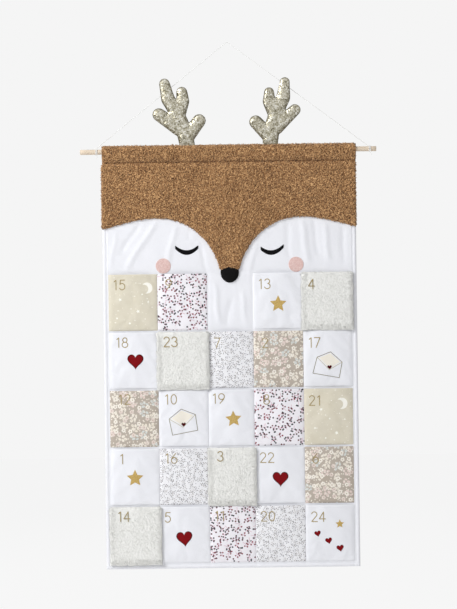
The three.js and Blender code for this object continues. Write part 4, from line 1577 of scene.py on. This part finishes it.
def pocket_grid(day):
    """The pocket's cloth as a flat grid: x, z, and the distance from its three sewn sides."""
    low, high = PLACES[day]
    left, right = SEWN[day]
    middle = (left + right) / 2
    columns, closing, steps = FUR_GRID if day in FUR_DAYS else COTTON_GRID
    half = left + (middle - left) * np.linspace(0, 1, columns + 1) ** closing
    across = np.concatenate([half, 2 * middle - half[-2::-1]])
    x, z = spread(across, stations(low[2], high[2], *steps))
    border = np.minimum(np.minimum(x - left, right - x), z - low[2])
    return x, z, border


def cotton_pocket(day, relief):
    """A flat patch pocket, puffed a little, with a turned hem and an easy mouth."""
    x, z, border = pocket_grid(day)
    low, high = PLACES[day]
    u = np.clip(abs(x - MIDDLES[day]) / HALVES[day], 0, 1)
    v = (z - low[2]) / (high[2] - low[2])
    puff = (1 - u**2.4) * (1 - (1 - v) ** 3)
    rise = COTTON_RISE * puff + MOUTH_RISE * v**3 * (1 - u**2) ** 1.5
    rise = rise * edge_fall(border, 6.0) + 0.9 * edge_fall(border, 1.4)
    rise = rise + relief(x, z) * edge_fall(border, 12.0)
    from_mouth = high[2] - z
    hem = smooth_step((HEM + 0.8 - from_mouth) / 1.6)
    rise = rise + 0.35 * hem - 0.4 * bell(from_mouth - HEM + 1.6, 1.1)
    rise = rise + 0.3 * waves(x, z * 0.15, 8.0, int(day), 1) * hem
    rise = rise - 0.9 * (1 - edge_fall(from_mouth + 0.05, 1.2))
    ground = on_cloth(x, z)
    y = ground - np.maximum(rise, 0.12 * edge_fall(border, 1.0))
    inner = np.minimum(y + COTTON_THICK, np.maximum(ground - 0.02, y + 0.04))
    return layer(x, y, z), layer(x, inner, z)


def fur_pocket(day):
    """A puffy pocket whose curly pile stands over its sides."""
    x, z, border = pocket_grid(day)
    low, high = PLACES[day]
    middle, half, seed = MIDDLES[day], HALVES[day], int(day)
    side = np.minimum(x - (middle - half), middle + half - x)
    foot = z - low[2]
    from_mouth = high[2] - z

    def over(distance, uneven):
        """How far the pile reaches over an edge at that distance from it."""
        part = np.clip(distance / FUR_TURN, 0, 1)
        reach = FUR_OVER * (1 + 0.4 * uneven) * np.sin(part * math.pi)
        return np.where(distance < FUR_TURN, distance - FUR_TURN * part**2 + reach, 0)

    ground = on_cloth(x, z)
    aside = over(side, waves(0 * x, z, 17.0, 80 + seed)) * smooth_step((from_mouth + 3) / 8)
    below = over(foot, waves(x, 0 * z, 17.0, 84 + seed))
    u = np.clip(abs(x - middle) / half, 0, 1)
    height = np.sin(np.clip(border / FUR_TURN, 0, 1) * math.pi / 2) ** 0.8
    rise = (FUR_RISE + 1.2 * (1 - u**2)) * height
    mouth = 1 - edge_fall(from_mouth + 0.02, 5.0)
    rise = rise * (1 - 0.45 * mouth) + 0.6 * waves(x, z, 30.0, 50 + seed)
    base = layer(x - np.sign(middle - x) * aside, ground - np.maximum(rise, 0) - 0.1, z - below)
    around = 2 * FUR_OVER + 2 * FUR_MARGIN
    heights, tones = curl_map(2 * half + around, high[2] - low[2] + around, FUR_CURL_SPACING,
                              FUR_CURL_RADIUS, 60 + seed)
    along = x - (middle - half) + FUR_OVER + FUR_MARGIN
    up = foot + FUR_OVER + FUR_MARGIN
    pile_height, tone = read_map(heights, along, up), read_map(tones, along, up)
    lift = FUR_PILE * (pile_height - 0.35) * smooth_step(border / 3.0)
    outer = base + normals_of(base) * lift[..., None]
    outer[..., 1] = np.minimum(outer[..., 1], ground - 0.05)
    outer[..., 2] = np.minimum(outer[..., 2], high[2] + 2.6)
    inner_y = np.minimum(base[..., 1] + 4.0, np.maximum(ground - 0.02, base[..., 1] + 0.04))
    inner = layer(x, np.maximum(inner_y, outer[..., 1] + 0.04), np.minimum(z, high[2]))
    return outer, inner, {"pile": pile_height, "tone": tone}


def pocket_sides(day, outer):
    """A pocket's halves: each one's side, its columns of the grid and its sewn edge."""
    centre = outer.shape[0] // 2
    left, right = SEWN[day]
    return ("left", slice(0, centre + 1), left), ("right", slice(centre, None), right)


def bend_half(piece):
    """Bakes the half's transform into its points."""
    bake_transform(piece)


def fur_yarns(day, outer):
    """The long fibres of a fur pocket, over its left and its right half."""
    for side, part, edge in pocket_sides(day, outer):
        grid = outer[part]
        proud = smooth_step((on_cloth(grid[..., 0], grid[..., 2]) - grid[..., 1]) / 3)
        rim = np.minimum(abs(grid[..., 0] - edge), grid[..., 2] - PLACES[day][0][2])
        fringe = 1 + FUR_FRINGE * smooth_step((9 - rim) / 6)
        share = (0.02 + proud * clear_of_number(day, grid)) * fringe
        seed = 700 + 2 * int(day) + (side == "right")
        piece = pile_yarns(f"pocket_{day}_{side}_fur", grid, normals_of(grid), FUR_COUNT, FUR_YARN, seed,
                           share, (0, 0, -1.0))
        dress(piece, CREAM_PILE, None)
        bend_half(piece)


def clear_of_number(day, grid):
    """A quarter where the pocket's number lies, which most fibres leave free, and 1 elsewhere."""
    left, top = number_place(day)
    wide = DIGIT_STEP * len(day.lstrip("0"))
    x, z = grid[..., 0], grid[..., 2]
    inside = (x > left - 2) & (x < left + wide) & (z < top + 6) & (z > top - DIGIT_HEIGHT - 2)
    return np.where(inside, 0.25, 1.0)


def halves(day, outer, inner, values, material, slot, ratio):
    """Makes the pocket's left and right halves."""
    normals = normals_of(outer)
    pieces = []
    for side, part, _ in pocket_sides(day, outer):
        piece = shell(f"pocket_{day}_{side}", outer[part], inner[part], ratio, normals[part])
        for name, numbers in values.items():
            store_outside(piece, name, numbers[part], 0.4)
        pieces.append(dress(piece, material, None, [f"pocket_{day}"]))
    return pieces


def bend_halves(day, pieces):
    """Bakes both halves' transforms into their points."""
    for piece, edge in zip(pieces, SEWN[day]):
        bend_half(piece)


SETTLE_STEP = 4.0
SETTLE_FRAMES = 24
SETTLE_SHRINK = -0.012
RELIEF_SHARE = 0.4
RELIEF_MOST = 1.6


def settled_reliefs(days):
    """The wrinkles of the cotton pockets, sewn on three sides and a little too wide: one simulation."""
    points, faces, pinned, grids = [], [], [], []
    for day in days:
        low, high = PLACES[day]
        columns = int((high[0] - low[0]) / SETTLE_STEP) + 1
        rows = int((high[2] - low[2]) / SETTLE_STEP) + 1
        x, z = spread(np.linspace(low[0], high[0], columns), np.linspace(low[2], high[2], rows))
        y = 0.7 * waves(x, z, 26.0, 90 + int(day)) - np.sin(math.pi * (x - low[0]) / (high[0] - low[0]))
        start = sum(len(p) for p in points)
        points.append(np.stack([x.ravel(), y.ravel(), z.ravel()], axis=1))
        faces += grid_faces(columns, rows, start)
        index = start + np.arange(columns * rows).reshape(columns, rows)
        pinned += [*index[0], *index[-1], *index[1:-1, 0]]
        grids.append((day, x, z, slice(start, start + columns * rows)))
    points = np.concatenate(points)
    rest = settle(points, faces, pinned, SETTLE_FRAMES, shrink_min=SETTLE_SHRINK)
    reliefs = {}
    for day, x, z, part in grids:
        moved = rest[part, 1].reshape(x.shape)
        moved = moved - moved.mean() * np.sin(math.pi * (x - x[0]) / (x[-1] - x[0]))
        read = surface_reader(layer(x, moved, z))
        reliefs[day] = lambda a, b, read=read: soft_clamp(-RELIEF_SHARE * read(a, b), RELIEF_MOST)
    return reliefs


# Numbers and motifs


def arc(x, z, wide, tall, start, end, count=17):
    """Points along part of an ellipse, from start to end in degrees."""
    angles = np.radians(np.linspace(start, end, count))
    return [(x + wide * math.cos(a), z + tall * math.sin(a)) for a in angles]


def turned(points, degrees, x=0.0, z=0.0):
    """Points turned about their origin, which then moves to x and z."""
    cos, sin = math.cos(math.radians(degrees)), math.sin(math.radians(degrees))
    return [(x + a * cos - b * sin, z + a * sin + b * cos) for a, b in points]


DIGIT_HEIGHT = 23.0
DIGIT_STROKE = 1.0
DIGIT_WIDE = 1.12
DIGIT_LIFT = 0.3
DIGITS = {
    "0": [arc(0.28, 0.5, 0.25, 0.49, 90, 450, 33)],
    "1": [[(0.08, 0.83), (0.25, 1.0), (0.25, 0.0)]],
    "2": [arc(0.27, 0.74, 0.24, 0.26, 165, -35) + [(0.03, 0.0), (0.54, 0.0)]],
    "3": [arc(0.26, 0.76, 0.22, 0.24, 160, -80) + arc(0.26, 0.27, 0.26, 0.27, 85, -160)],
    "4": [[(0.4, 0.0), (0.4, 1.0), (0.0, 0.28), (0.56, 0.28)]],
    "5": [[(0.5, 1.0), (0.12, 1.0), (0.07, 0.55)] + arc(0.26, 0.33, 0.26, 0.33, 125, -150)],
    "6": [[(0.42, 1.0), (0.12, 0.62)] + arc(0.28, 0.3, 0.26, 0.3, 155, 515, 33)],
    "7": [[(0.0, 1.0), (0.52, 1.0), (0.16, 0.0)]],
    "8": [arc(0.27, 0.76, 0.2, 0.23, 90, 450, 29), arc(0.27, 0.27, 0.26, 0.27, 90, 450, 33)],
    "9": [[(0.14, 0.0), (0.44, 0.38)] + arc(0.28, 0.7, 0.26, 0.3, -25, 335, 33)],
}


def dense_line(line, step):
    """The line with points no further apart than the step."""
    line = np.asarray(line, float)
    dense = [line[0]]
    for a, b in zip(line, line[1:]):
        count = max(1, math.ceil(math.dist(a, b) / step))
        dense.extend(a + (b - a) * k / count for k in range(1, count + 1))
    return np.array(dense)


LINE_STEP = 1.6
# each of a stroke's two end rings: how far out it lies and how wide it is, in half widths
STROKE_ENDS = ((0.55, 0.84), (0.4, 0.35))


def ribbon(line, half_width):
    """A flat stroke with round ends along a line of x and z: points with their heights, and faces."""
    path = dense_line(line, LINE_STEP)
    ahead = np.gradient(path, axis=0)
    ahead /= np.linalg.norm(ahead, axis=1, keepdims=True)
    widths = np.full(len(path), half_width)
    closed = math.dist(path[0], path[-1]) < half_width / 2
    for out, wide in () if closed else STROKE_ENDS:
        first, last = path[0] - ahead[0] * half_width * out, path[-1] + ahead[-1] * half_width * out
        path = np.concatenate([[first], path, [last]])
        ahead = np.concatenate([ahead[:1], ahead, ahead[-1:]])
        widths = np.concatenate([[half_width * wide], widths, [half_width * wide]])
    side = np.stack([-ahead[:, 1], ahead[:, 0]], axis=1) * widths[:, None]
    points, faces = [], []
    for place, out in zip(path, side):
        points += [(*(place + out), 0), (*(place + out), 1), (*(place - out), 1), (*(place - out), 0)]
    for i in range(len(path) - 1):
        for k in range(4):
            a, b = 4 * i + k, 4 * i + (k + 1) % 4
            faces.append([a, a + 4, b + 4, b])
    last = 4 * (len(path) - 1)
    faces += [[0, 1, 2, 3], [last + 3, last + 2, last + 1, last]]
    return points, faces


PATCH_STEP = 3.0


def patch(outline, cut_x):
    """A flat shape from its outline, cut into small faces, and at x = cut_x, with its two layers."""
    bm = bmesh.new()
    corners = [bm.verts.new((x, 0, z)) for x, z in outline]
    bm.faces.new(corners).normal_update()
    bmesh.ops.triangulate(bm, faces=bm.faces[:])
    xs, zs = [p[0] for p in outline], [p[1] for p in outline]
    cuts = [((x, 0, 0), (1, 0, 0)) for x in np.arange(math.ceil(min(xs)), max(xs), PATCH_STEP)]
    cuts += [((0, 0, z), (0, 0, 1)) for z in np.arange(math.ceil(min(zs)), max(zs), PATCH_STEP)]
    cuts.append(((cut_x, 0, 0), (1, 0, 0)))
    for place, normal in cuts:
        whole = bm.verts[:] + bm.edges[:] + bm.faces[:]
        bmesh.ops.bisect_plane(bm, geom=whole, plane_co=place, plane_no=normal, dist=1e-4)
    sides = []
    for keep in (-1, 1):
        half = bm.copy()
        away = [f for f in half.faces if (f.calc_center_median().x - cut_x) * keep < 0]
        bmesh.ops.delete(half, geom=away, context="FACES")
        half.verts.index_update()
        flat = [(v.co.x, v.co.z) for v in half.verts]
        count = len(flat)
        points = [(*p, 0) for p in flat] + [(*p, 1) for p in flat]
        faces = []
        for face in half.faces:
            loop = [v.index for v in face.verts]
            faces += [loop, [count + i for i in reversed(loop)]]
        for edge in half.edges:
            if len(edge.link_faces) == 1:
                a, b = (v.index for v in edge.verts)
                faces.append([a, b, b + count, a + count])
        half.free()
        sides.append((points, faces))
    bm.free()
    return sides


def star(x, z, radius, degrees=0.0):
    """The outline of a five-pointed star."""
    points = []
    for k in range(10):
        reach = radius if k % 2 == 0 else radius * STAR_INNER
        angle = math.radians(90 + degrees + 36 * k)
        points.append((x + reach * math.cos(angle), z + reach * math.sin(angle)))
    return points


def heart(x, z, width, degrees=0.0):
    """The outline of a heart."""
    points = []
    for t in 2 * math.pi * np.arange(HEART_SIDES) / HEART_SIDES:
        tall = sum(part * math.cos(k * t) for k, part in enumerate(HEART_WAVES, 1))
        points.append((width / 2 * math.sin(t) ** 3, width * tall / 32 * HEART_TALL))
    return turned(points, degrees, x, z)


def crescent(x, z, radius, degrees):
    """A moon between a circle and a smaller one set to its side."""
    bright = arc(0, 0, radius, radius, -125, 125, 25)
    dark = arc(-radius * 0.6, 0, radius * 0.82, radius * 0.82, 88, -88, 19)
    return turned(bright + dark, degrees, x, z)


# Motifs of each pocket, from the middle of its bottom seam
STARS = {"13": [(0.6, 59.5, 20.5, 0)], "19": [(4.4, 64, 20, 3)], "01": [(-0.2, 64.4, 20.5, 0)],
         "24": [(22.6, 88, 10.5, 0)]}
HEARTS = {"18": [(4.2, 67, 38, 0)], "22": [(0.8, 60.3, 37.5, 0)], "05": [(-2.0, 59.4, 38, 6)],
          "24": [(-30, 66, 15, 12), (-4, 49, 16, 12), (23, 31, 17, 12)]}
ENVELOPES = {
    "17": ([(6, 82.1), (33.1, 57.4), (26.2, 20.6), (-36.1, 32.1), (-25.9, 69.8)], (3.4, 46.2), (2.5, 40)),
    "10": ([(-5.8, 88.8), (27.3, 75.6), (32.5, 38.4), (-27.2, 27.4), (-34.8, 65.8)], (-0.6, 52.5), (-2, 46)),
}
STAR_INNER = 0.48
LETTER_HEART = 10.5
HEART_INNER = 0.88
HEART_TALL = 1.06
HEART_SIDES = 48
HEART_WAVES = (13, -5, -2, -1)
FLAP_INSET = 0.84
MOONS = {"21": [(31, 97.5, 13.5, 14)], "15": [(33.5, 101, 13.0, 18)]}
SPARKS = {"21": [(-18, 84, 4.2), (18, 28, 4.8), (-33, 40, 3.0), (38, 60, 2.6), (2, 62, 2.8), (-8, 16, 3.0)],
          "15": [(-30, 74, 4.4), (12, 46, 4.8), (-8, 18, 3.4), (36, 68, 3.0), (22, 86, 2.8), (-38, 30, 3.2)]}
DIGIT_PLACE = (12.0, 11.5)
DIGIT_STEP = 18.5
NARROW_ONE = 4.5
# how far a number sits right of and above the usual place
DIGIT_SHIFT = {"15": (-1.5, -1.4), "18": (3.3, 0), "12": (7.5, 3), "10": (1, 2), "19": (-4, 2.5),
               "21": (-2, -5), "17": (-1.5, -5.5), "07": (2, -3.5), "02": (6.5, -5), "08": (8.5, -1),
               "13": (0, -3), "04": (0, -5), "09": (5.9, -1), "01": (8.9, 0), "14": (2.6, 1.5),
               "05": (-2.8, -1.9), "03": (5.5, 3.5), "24": (0, -4.7), "06": (4.7, -4), "22": (-1.5, -1),
               "20": (-1.2, -2), "11": (-2.2, 0)}


def number_place(day):
    """Left and top of the pocket's number."""
    low, high = PLACES[day]
    right, up = DIGIT_SHIFT.get(day, (0, 0))
    return low[0] + DIGIT_PLACE[0] + right, high[2] - DIGIT_PLACE[1] + up


def motif_parts(day):
    """Everything printed or pressed on a pocket: its material, its lift and its parts, left then right."""
    middle, foot = MIDDLES[day], PLACES[day][0][2]
    layers = []

    def shapes(material, outlines, lift=DIGIT_LIFT):
        """Adds a layer of raised shapes, cut at the pocket's middle."""
        pairs = [patch([(middle + x, foot + z) for x, z in outline], middle) for outline in outlines]
        left, right = ([pair[side] for pair in pairs if pair[side][1]] for side in (0, 1))
        layers.append((material, lift, left, right))

    shapes(GOLD, [star(x, z, r, a) for x, z, r, a in STARS.get(day, [])])
    shapes(DARK_RED, [heart(x, z, w, a) for x, z, w, a in HEARTS.get(day, [])])
    shapes(RED, [heart(x, z, w * HEART_INNER, a) for x, z, w, a in HEARTS.get(day, [])], DIGIT_LIFT + 0.15)
    shapes(PALE, [crescent(x, z, r, a) for x, z, r, a in MOONS.get(day, [])], 0.15)
    shapes(PALE, [star(x, z, r, 20) for x, z, r in SPARKS.get(day, [])], 0.15)
    if day in ENVELOPES:
        corners, seal, flap = ENVELOPES[day]
        flap_corners = np.array([corners[4], flap, corners[1], corners[0]])
        centre = flap_corners.mean(axis=0)
        shapes(LETTER, [[tuple(p) for p in centre + (flap_corners - centre) * FLAP_INSET]], 0.1)
        for material, line in ((PALE_LINE, [corners[4], flap, corners[1]]), (LINE, corners + corners[:1])):
            stroke = ribbon([(middle + x, foot + z) for x, z in dense_line(line, 2)], 0.7)
            layers.append((material, 0.2, *split_strokes([stroke], middle)))
        shapes(DARK_RED, [heart(seal[0], seal[1], LETTER_HEART, 4)], 0.4)
    digits = []
    x, top = number_place(day)
    for character in day.lstrip("0"):
        for line in DIGITS[character]:
            scaled = [(x + a * DIGIT_WIDE * DIGIT_HEIGHT, top - DIGIT_HEIGHT * (1 - b)) for a, b in line]
            digits.append(ribbon(scaled, DIGIT_STROKE))
        x += DIGIT_STEP - (NARROW_ONE if character == "1" else 0)
    layers.append((DIGIT_GOLD, DIGIT_LIFT, *split_strokes(digits, middle)))
    return layers


def split_strokes(strokes, middle):
    """Strokes as they fall left and right of the pocket's middle; one that crosses it is cut there."""
    left, right = [], []
    for points, faces in strokes:
        bm = bmesh.new()
        verts = [bm.verts.new(p) for p in points]
        for face in faces:
            bm.faces.new([verts[i] for i in face])
        for keep, found in ((-1, left), (1, right)):
            half = bm.copy()
            whole = half.verts[:] + half.edges[:] + half.faces[:]
            cut = bmesh.ops.bisect_plane(half, geom=whole, plane_co=(middle, 0, 0), plane_no=(keep, 0, 0),
                                         clear_inner=True, dist=1e-4)
            edges = [e for e in cut["geom_cut"] if isinstance(e, bmesh.types.BMEdge) and e.is_valid]
            if edges:
                bmesh.ops.contextual_create(half, geom=edges)
            half.verts.index_update()
            if half.faces:
                found.append(([tuple(v.co) for v in half.verts],
                              [[v.index for v in f.verts] for f in half.faces]))
            half.free()
        bm.free()
    return left, right


MOTIF_FOOT = 0.12


def add_motifs(day, pieces, read, sink=0.0):
    """Lays the pocket's motifs on its outside, as thin raised shapes of their own colours."""
    layers = motif_parts(day)
    for side, piece in enumerate(pieces):
        own_layers = [(material, lift, parts[side]) for material, lift, *parts in layers if parts[side]]
        if not own_layers:
            continue
        mesh = piece.data
        old_normals = [tuple(n.vector) for n in mesh.corner_normals]
        bm = bmesh.new()
        bm.from_mesh(mesh)
        rest_layer = bm.verts.layers.float_vector["rest"]
        for material, lift, parts in own_layers:
            mesh.materials.append(material)
            index = len(mesh.materials) - 1
            points, faces = gather(parts)
            points = np.array(points)
            y = read(points[:, 0], points[:, 1]) + sink + np.where(points[:, 2] > 0.5, -lift, MOTIF_FOOT)
            verts = []
            for (x, z, _), depth in zip(points, y):
                vert = bm.verts.new(Vector((x, depth, z)) * METRES)
                vert[rest_layer] = Vector((x, depth, z))
                verts.append(vert)
            for face in faces:
                made = bm.faces.new([verts[i] for i in face])
                made.material_index = index
                made.smooth = False
        bm.to_mesh(mesh)
        bm.free()
        mesh.normals_split_custom_set(old_normals + [(0, 0, 0)] * (len(mesh.loops) - len(old_normals)))


# the days that have each printed cloth, with its material and slot
PRINTS = [(SAND_DAYS, SAND, "sand_cotton"), (TAUPE_DAYS, TAUPE, "taupe_print_cotton"),
          (BERRY_DAYS, BERRY, "berry_print_cotton"), (SPRIG_DAYS, SPRIG, "grey_sprig_cotton")]
FUR_SINK = 0.9


def pockets():
    """The 24 pockets, row by row, each with what is printed on it."""
    cotton_days = [day for day in PLACES if day not in FUR_DAYS]
    reliefs = settled_reliefs(cotton_days)
    for day in PLACES:
        if day in FUR_DAYS:
            outer, inner, values = fur_pocket(day)
            pieces = halves(day, outer, inner, values, CREAM_PILE, "cream_fur", 4)
            x, z, _ = pocket_grid(day)
            add_motifs(day, pieces, surface_reader(layer(x, outer[..., 1], z)), -FUR_SINK)
            fur_yarns(day, outer)
        else:
            cloth = next((cloth for days, *cloth in PRINTS if day in days), (WHITE, "white_cotton"))
            outer, inner = cotton_pocket(day, reliefs[day])
            pieces = halves(day, outer, inner, {}, *cloth, 2)
            add_motifs(day, pieces, surface_reader(outer))
        bend_halves(day, pieces)


pockets()


# Antlers: stuffed tines under crumpled glitter cloth, sewn flat at the foot

# each joint's x outwards, z up and radius, as shares of the antler's height
ANTLER_JOINTS = {
    "foot": (0, 0, 0.1),
    "neck": (0.028, 0.194, 0.106),
    "fork": (0.102, 0.445, 0.092),
    "outerMiddle": (0.237, 0.7, 0.089),
    "outerTip": (0.273, 0.925, 0.067),
    "innerMiddle": (0.021, 0.654, 0.083),
    "innerTip": (0.027, 0.785, 0.069),
    "sideFoot": (0.108, 0.254, 0.095),
    "sideTip": (0.4, 0.498, 0.088),
    "spurFoot": (0.003, 0.115, 0.095),
    "spurTip": (-0.198, 0.35, 0.085),
}
ANTLER_LIMBS = [
    ("foot", "neck"),
    ("neck", "fork"),
    ("fork", "outerMiddle"),
    ("outerMiddle", "outerTip"),
    ("fork", "innerMiddle"),
    ("innerMiddle", "innerTip"),
    ("sideFoot", "sideTip"),
    ("spurFoot", "spurTip"),
]
ANTLER_HEIGHTS = {-1: 160.5, 1: 155.5}
ANTLER_Y = -11.5
ANTLER_FLAT = 0.55
ANTLER_LEANS = {-1: 3.3, 1: 2.4}
# joints that one antler has otherwise than the other
OWN_TINES = {
    -1: {"sideTip": (0.385, 0.48, 0.084)},
    1: {"sideTip": (0.404, 0.503, 0.07), "outerTip": (0.273, 0.93, 0.06), "innerTip": (0.027, 0.79, 0.06)},
}
ANTLER_FOOT_Z = 0.5
ANTLER_FULLS = {-1: 1.7, 1: 2.3}
ANTLER_DEEP = 10.5
LIMB_BEND = np.linspace(-math.pi / 2, 0, 7)
LIMB_SIDES = 20
THINNEST = 0.05
CRUMPLE = 0.5
RIDGES = (0.9, 2.1, 3, 1.0, 2.0)
EDGE_WIDE = 1.3
EDGE_PROUD = 0.75
FILLING_INSET = 4.0
COVER_VOXEL, FILLING_VOXEL = 1.5, 2.4


def antler_place(side, key):
    """A joint of an antler's tines, in millimetres, and its radius."""
    x, z, radius = OWN_TINES[side].get(key, ANTLER_JOINTS[key])
    x, z, radius = (value * ANTLER_HEIGHTS[side] for value in (x * side, z, radius))
    x, z = turned([(x, z)], ANTLER_LEANS[side])[0]
    return np.array([x, 0, z]), radius


def capsule(a, b, inset):
    """A round-ended limb from one joint to the next, flattened front to back."""
    (start, first), (end, last) = a, b
    ahead = (end - start) / np.linalg.norm(end - start)
    rings = [(start, first - inset, t) for t in LIMB_BEND]
    rings += [(end, last - inset, -t) for t in LIMB_BEND[::-1]]
    path = [place + ahead * radius * math.sin(t) for place, radius, t in rings]
    radii = [max(radius * math.cos(t), THINNEST) for _, radius, t in rings]
    points, faces = tube(path, radii, LIMB_SIDES)
    return [p * (1, ANTLER_FLAT, 1) for p in points], faces


def joined(name, parts, voxel, rounds):
    """One closed, even skin over overlapping parts."""
    rough = piece_of("rough", *gather(parts), False)
    remesh = rough.modifiers.new("remesh", "REMESH")
    remesh.mode = "VOXEL"
    remesh.voxel_size = voxel * METRES
    relax = rough.modifiers.new("relax", "SMOOTH")
    relax.factor = 0.5
    relax.iterations = rounds
    evaluated = rough.evaluated_get(bpy.context.evaluated_depsgraph_get())
    mesh = bpy.data.meshes.new_from_object(evaluated)
    mesh.name = name
    bpy.data.objects.remove(rough)
    mesh.shade_smooth()
    return link(name, mesh)


STUFFING = {"shrink_min": -0.05, "bending_stiffness": 0.3}
STUFFING_PRESSURE = 3.0
STUFFING_FRAMES = 16
STUFFING_REACH = 2.2
SEWN_DEEP, SEWN_HIGH = 0.8, 3


def stuffed(mesh, points, low):
    """The cover blown out by its stuffing, which gathers it along the sewn edge."""
    faces = [list(polygon.vertices) for polygon in mesh.polygons]
    sewn = np.flatnonzero((abs(points[:, 1]) < SEWN_DEEP) | (points[:, 2] < low + SEWN_HIGH))
    moved = settle(points, faces, sewn, STUFFING_FRAMES, STUFFING_PRESSURE, **STUFFING)
    away = moved - points
    far = np.linalg.norm(away, axis=1, keepdims=True)
    return points + away / np.maximum(far, 1e-9) * soft_clamp(far, STUFFING_REACH)


def antler(side, name):
    """One antler's glitter cover, with crumples and a sewn edge, and its filling."""
    low = ANTLER_FOOT_Z
    base = np.array([side * ANTLER_OUTS[side], ANTLER_Y, TOP_Z])
    limbs = [(antler_place(side, a), antler_place(side, b)) for a, b in ANTLER_LIMBS]
    limb_skins = [capsule(a, b, -ANTLER_FULLS[side]) for a, b in limbs]
    cover = joined(f"{name}_cloth", limb_skins, COVER_VOXEL, 5)
    points = points_of(cover)
    mesh = cover.data
    points = stuffed(mesh, points, low)
    move_points(cover, points)
    normals = vertex_values(mesh, "normal").astype(float)
    x, y, z = points.T
    # ridges, soft dents and fine crumples of three sizes
    ridge = np.array([noise.ridged_multi_fractal(Vector((a / 11, b / 11 + side, c / 11)), *RIDGES)
                      for a, b, c in points])
    soft = plain_noise(x / 7, y / 7, z / 7 + side * 4)
    fine = plain_noise(x / 3.2, y / 3.2, z / 3.2 + side * 9)
    sideways = 1 - abs(normals[:, 1])
    edge = bell(y, EDGE_WIDE) * sideways**0.5
    lift = CRUMPLE * (0.55 * (ridge - 1.1) + 0.9 * soft + 0.35 * fine)
    lift = lift * (1 - 0.7 * edge) * smooth_step((z - low) / 12)
    points = points + normals * (lift + EDGE_PROUD * edge)[:, None]
    half = 1.2 + ANTLER_FLAT * 1.2 * np.maximum(points[:, 2] - low, 0)
    points[:, 1] = soft_clamp(points[:, 1], np.minimum(half, ANTLER_DEEP))
    points[:, 2] = np.maximum(points[:, 2], low - 0.9)
    move_points(cover, points + base)
    keep_rest(mesh)
    # painted shade for the glitter where the cover turns sideways round its outline, stored as its edge
    # number
    rim_shade = smooth_step((sideways - 0.18) / 0.3) * smooth_step((points[:, 2] - low) / 6)
    store(cover, "edge", rim_shade)
    # the crumples' height for the colour: painted light on their ridges, painted shade in their dents
    store(cover, "crumple_shading", np.clip(0.5 + 0.35 * (ridge - 1.1) + 0.8 * soft + 0.4 * fine, 0, 1))
    dress(cover, GLITTER, name, [f"{name}_cover"])

    limb_cores = [capsule(a, b, FILLING_INSET) for a, b in limbs]
    filling = joined(f"{name}_stuffing", limb_cores, FILLING_VOXEL, 6)
    points = points_of(filling)
    half = 0.5 + ANTLER_FLAT * np.maximum(points[:, 2] - low - 1.5, 0)
    points[:, 1] = soft_clamp(points[:, 1], half)
    points[:, 2] = np.maximum(points[:, 2], low + 2.5)
    move_points(filling, points + base)
    keep_rest(filling.data)
    dress(filling, FILLING, name, [f"{name}_filling"])


antler(-1, "antler_left")
antler(1, "antler_right")


# Stage and light

WORLD_LIGHT = 0.43
BACKDROP = shade(245, 245, 245)
FLOOR_HALF = 8.0
FLOOR_Z = -1.62
# how much of the floor is drawn in the background's colour, and how bright; the rest takes shadows
FLOOR_EVEN = 0.96
FLOOR_GLOW = 1.015
LIT = (0, 0, -0.7)
# each lamp's place in metres, power and size
LAMPS = [("key_light", (-2.6, -1.9, 1.3), 102, 1.2), ("fill_light", (2.2, -3.0, -0.2), 9, 2.5),
         ("back_light", (-1.0, 3.0, 1.2), 60, 2.5)]


def sky():
    """Even white light, behind a backdrop that the camera, mirrors and glass see instead."""
    world = bpy.data.worlds.new("studio")
    bpy.context.scene.world = world
    n = Nodes("studio", world)
    path = n.add("LightPath", {})
    seen = n.math("MAXIMUM", path.outputs["Is Camera Ray"], path.outputs["Is Glossy Ray"])
    seen = n.math("MAXIMUM", seen, path.outputs["Is Transmission Ray"])
    light = n.add("Background", {"Color": (1.0, 1.0, 1.0, 1), "Strength": WORLD_LIGHT})
    backdrop = n.add("Background", {"Color": BACKDROP, "Strength": 1.0})
    mixed = n.add("MixShader", {0: seen, 1: light.outputs[0], 2: backdrop.outputs[0]})
    n.add("OutputWorld", {"Surface": mixed.outputs[0]})


def floor():
    """A pale floor under the part, which fades into the background and keeps the part's shadow."""
    n = Nodes("floor")
    soft = n.noise(n.add("NewGeometry", {}).outputs["Position"], 2.0)
    painted = n.add("BsdfDiffuse", {"Color": n.mix(soft, shade(238, 238, 238), shade(244, 244, 244))})
    glow = n.add("Emission", {"Color": BACKDROP, "Strength": FLOOR_GLOW})
    camera_share = n.math("MULTIPLY", n.add("LightPath", {}).outputs["Is Camera Ray"], FLOOR_EVEN)
    mixed = n.add("MixShader", {0: camera_share, 1: painted.outputs[0], 2: glow.outputs[0]})
    n.add("OutputMaterial", {"Surface": mixed.outputs[0]})
    bm = bmesh.new()
    bmesh.ops.create_grid(bm, x_segments=2, y_segments=2, size=FLOOR_HALF)
    mesh = bpy.data.meshes.new("floor")
    bm.to_mesh(mesh)
    bm.free()
    piece = link("floor", mesh)
    piece.location = (0, 0, FLOOR_Z)
    mesh.materials.append(n.material)


def lamps():
    """Soft light from the upper left, a weak one from the right and one behind for the back."""
    for name, place, power, size in LAMPS:
        lamp = bpy.data.lights.new(name, "AREA")
        lamp.shape = "DISK"
        lamp.energy = power
        lamp.size = size
        piece = link(name, lamp)
        piece.location = place
        piece.rotation_mode = "QUATERNION"
        piece.rotation_quaternion = (Vector(LIT) - Vector(place)).to_track_quat("-Z", "Y")
        piece.visible_camera = False
        piece.visible_glossy = name == "key_light"


sky()
floor()
lamps()

scene = bpy.context.scene
scene.view_settings.view_transform = "Standard"
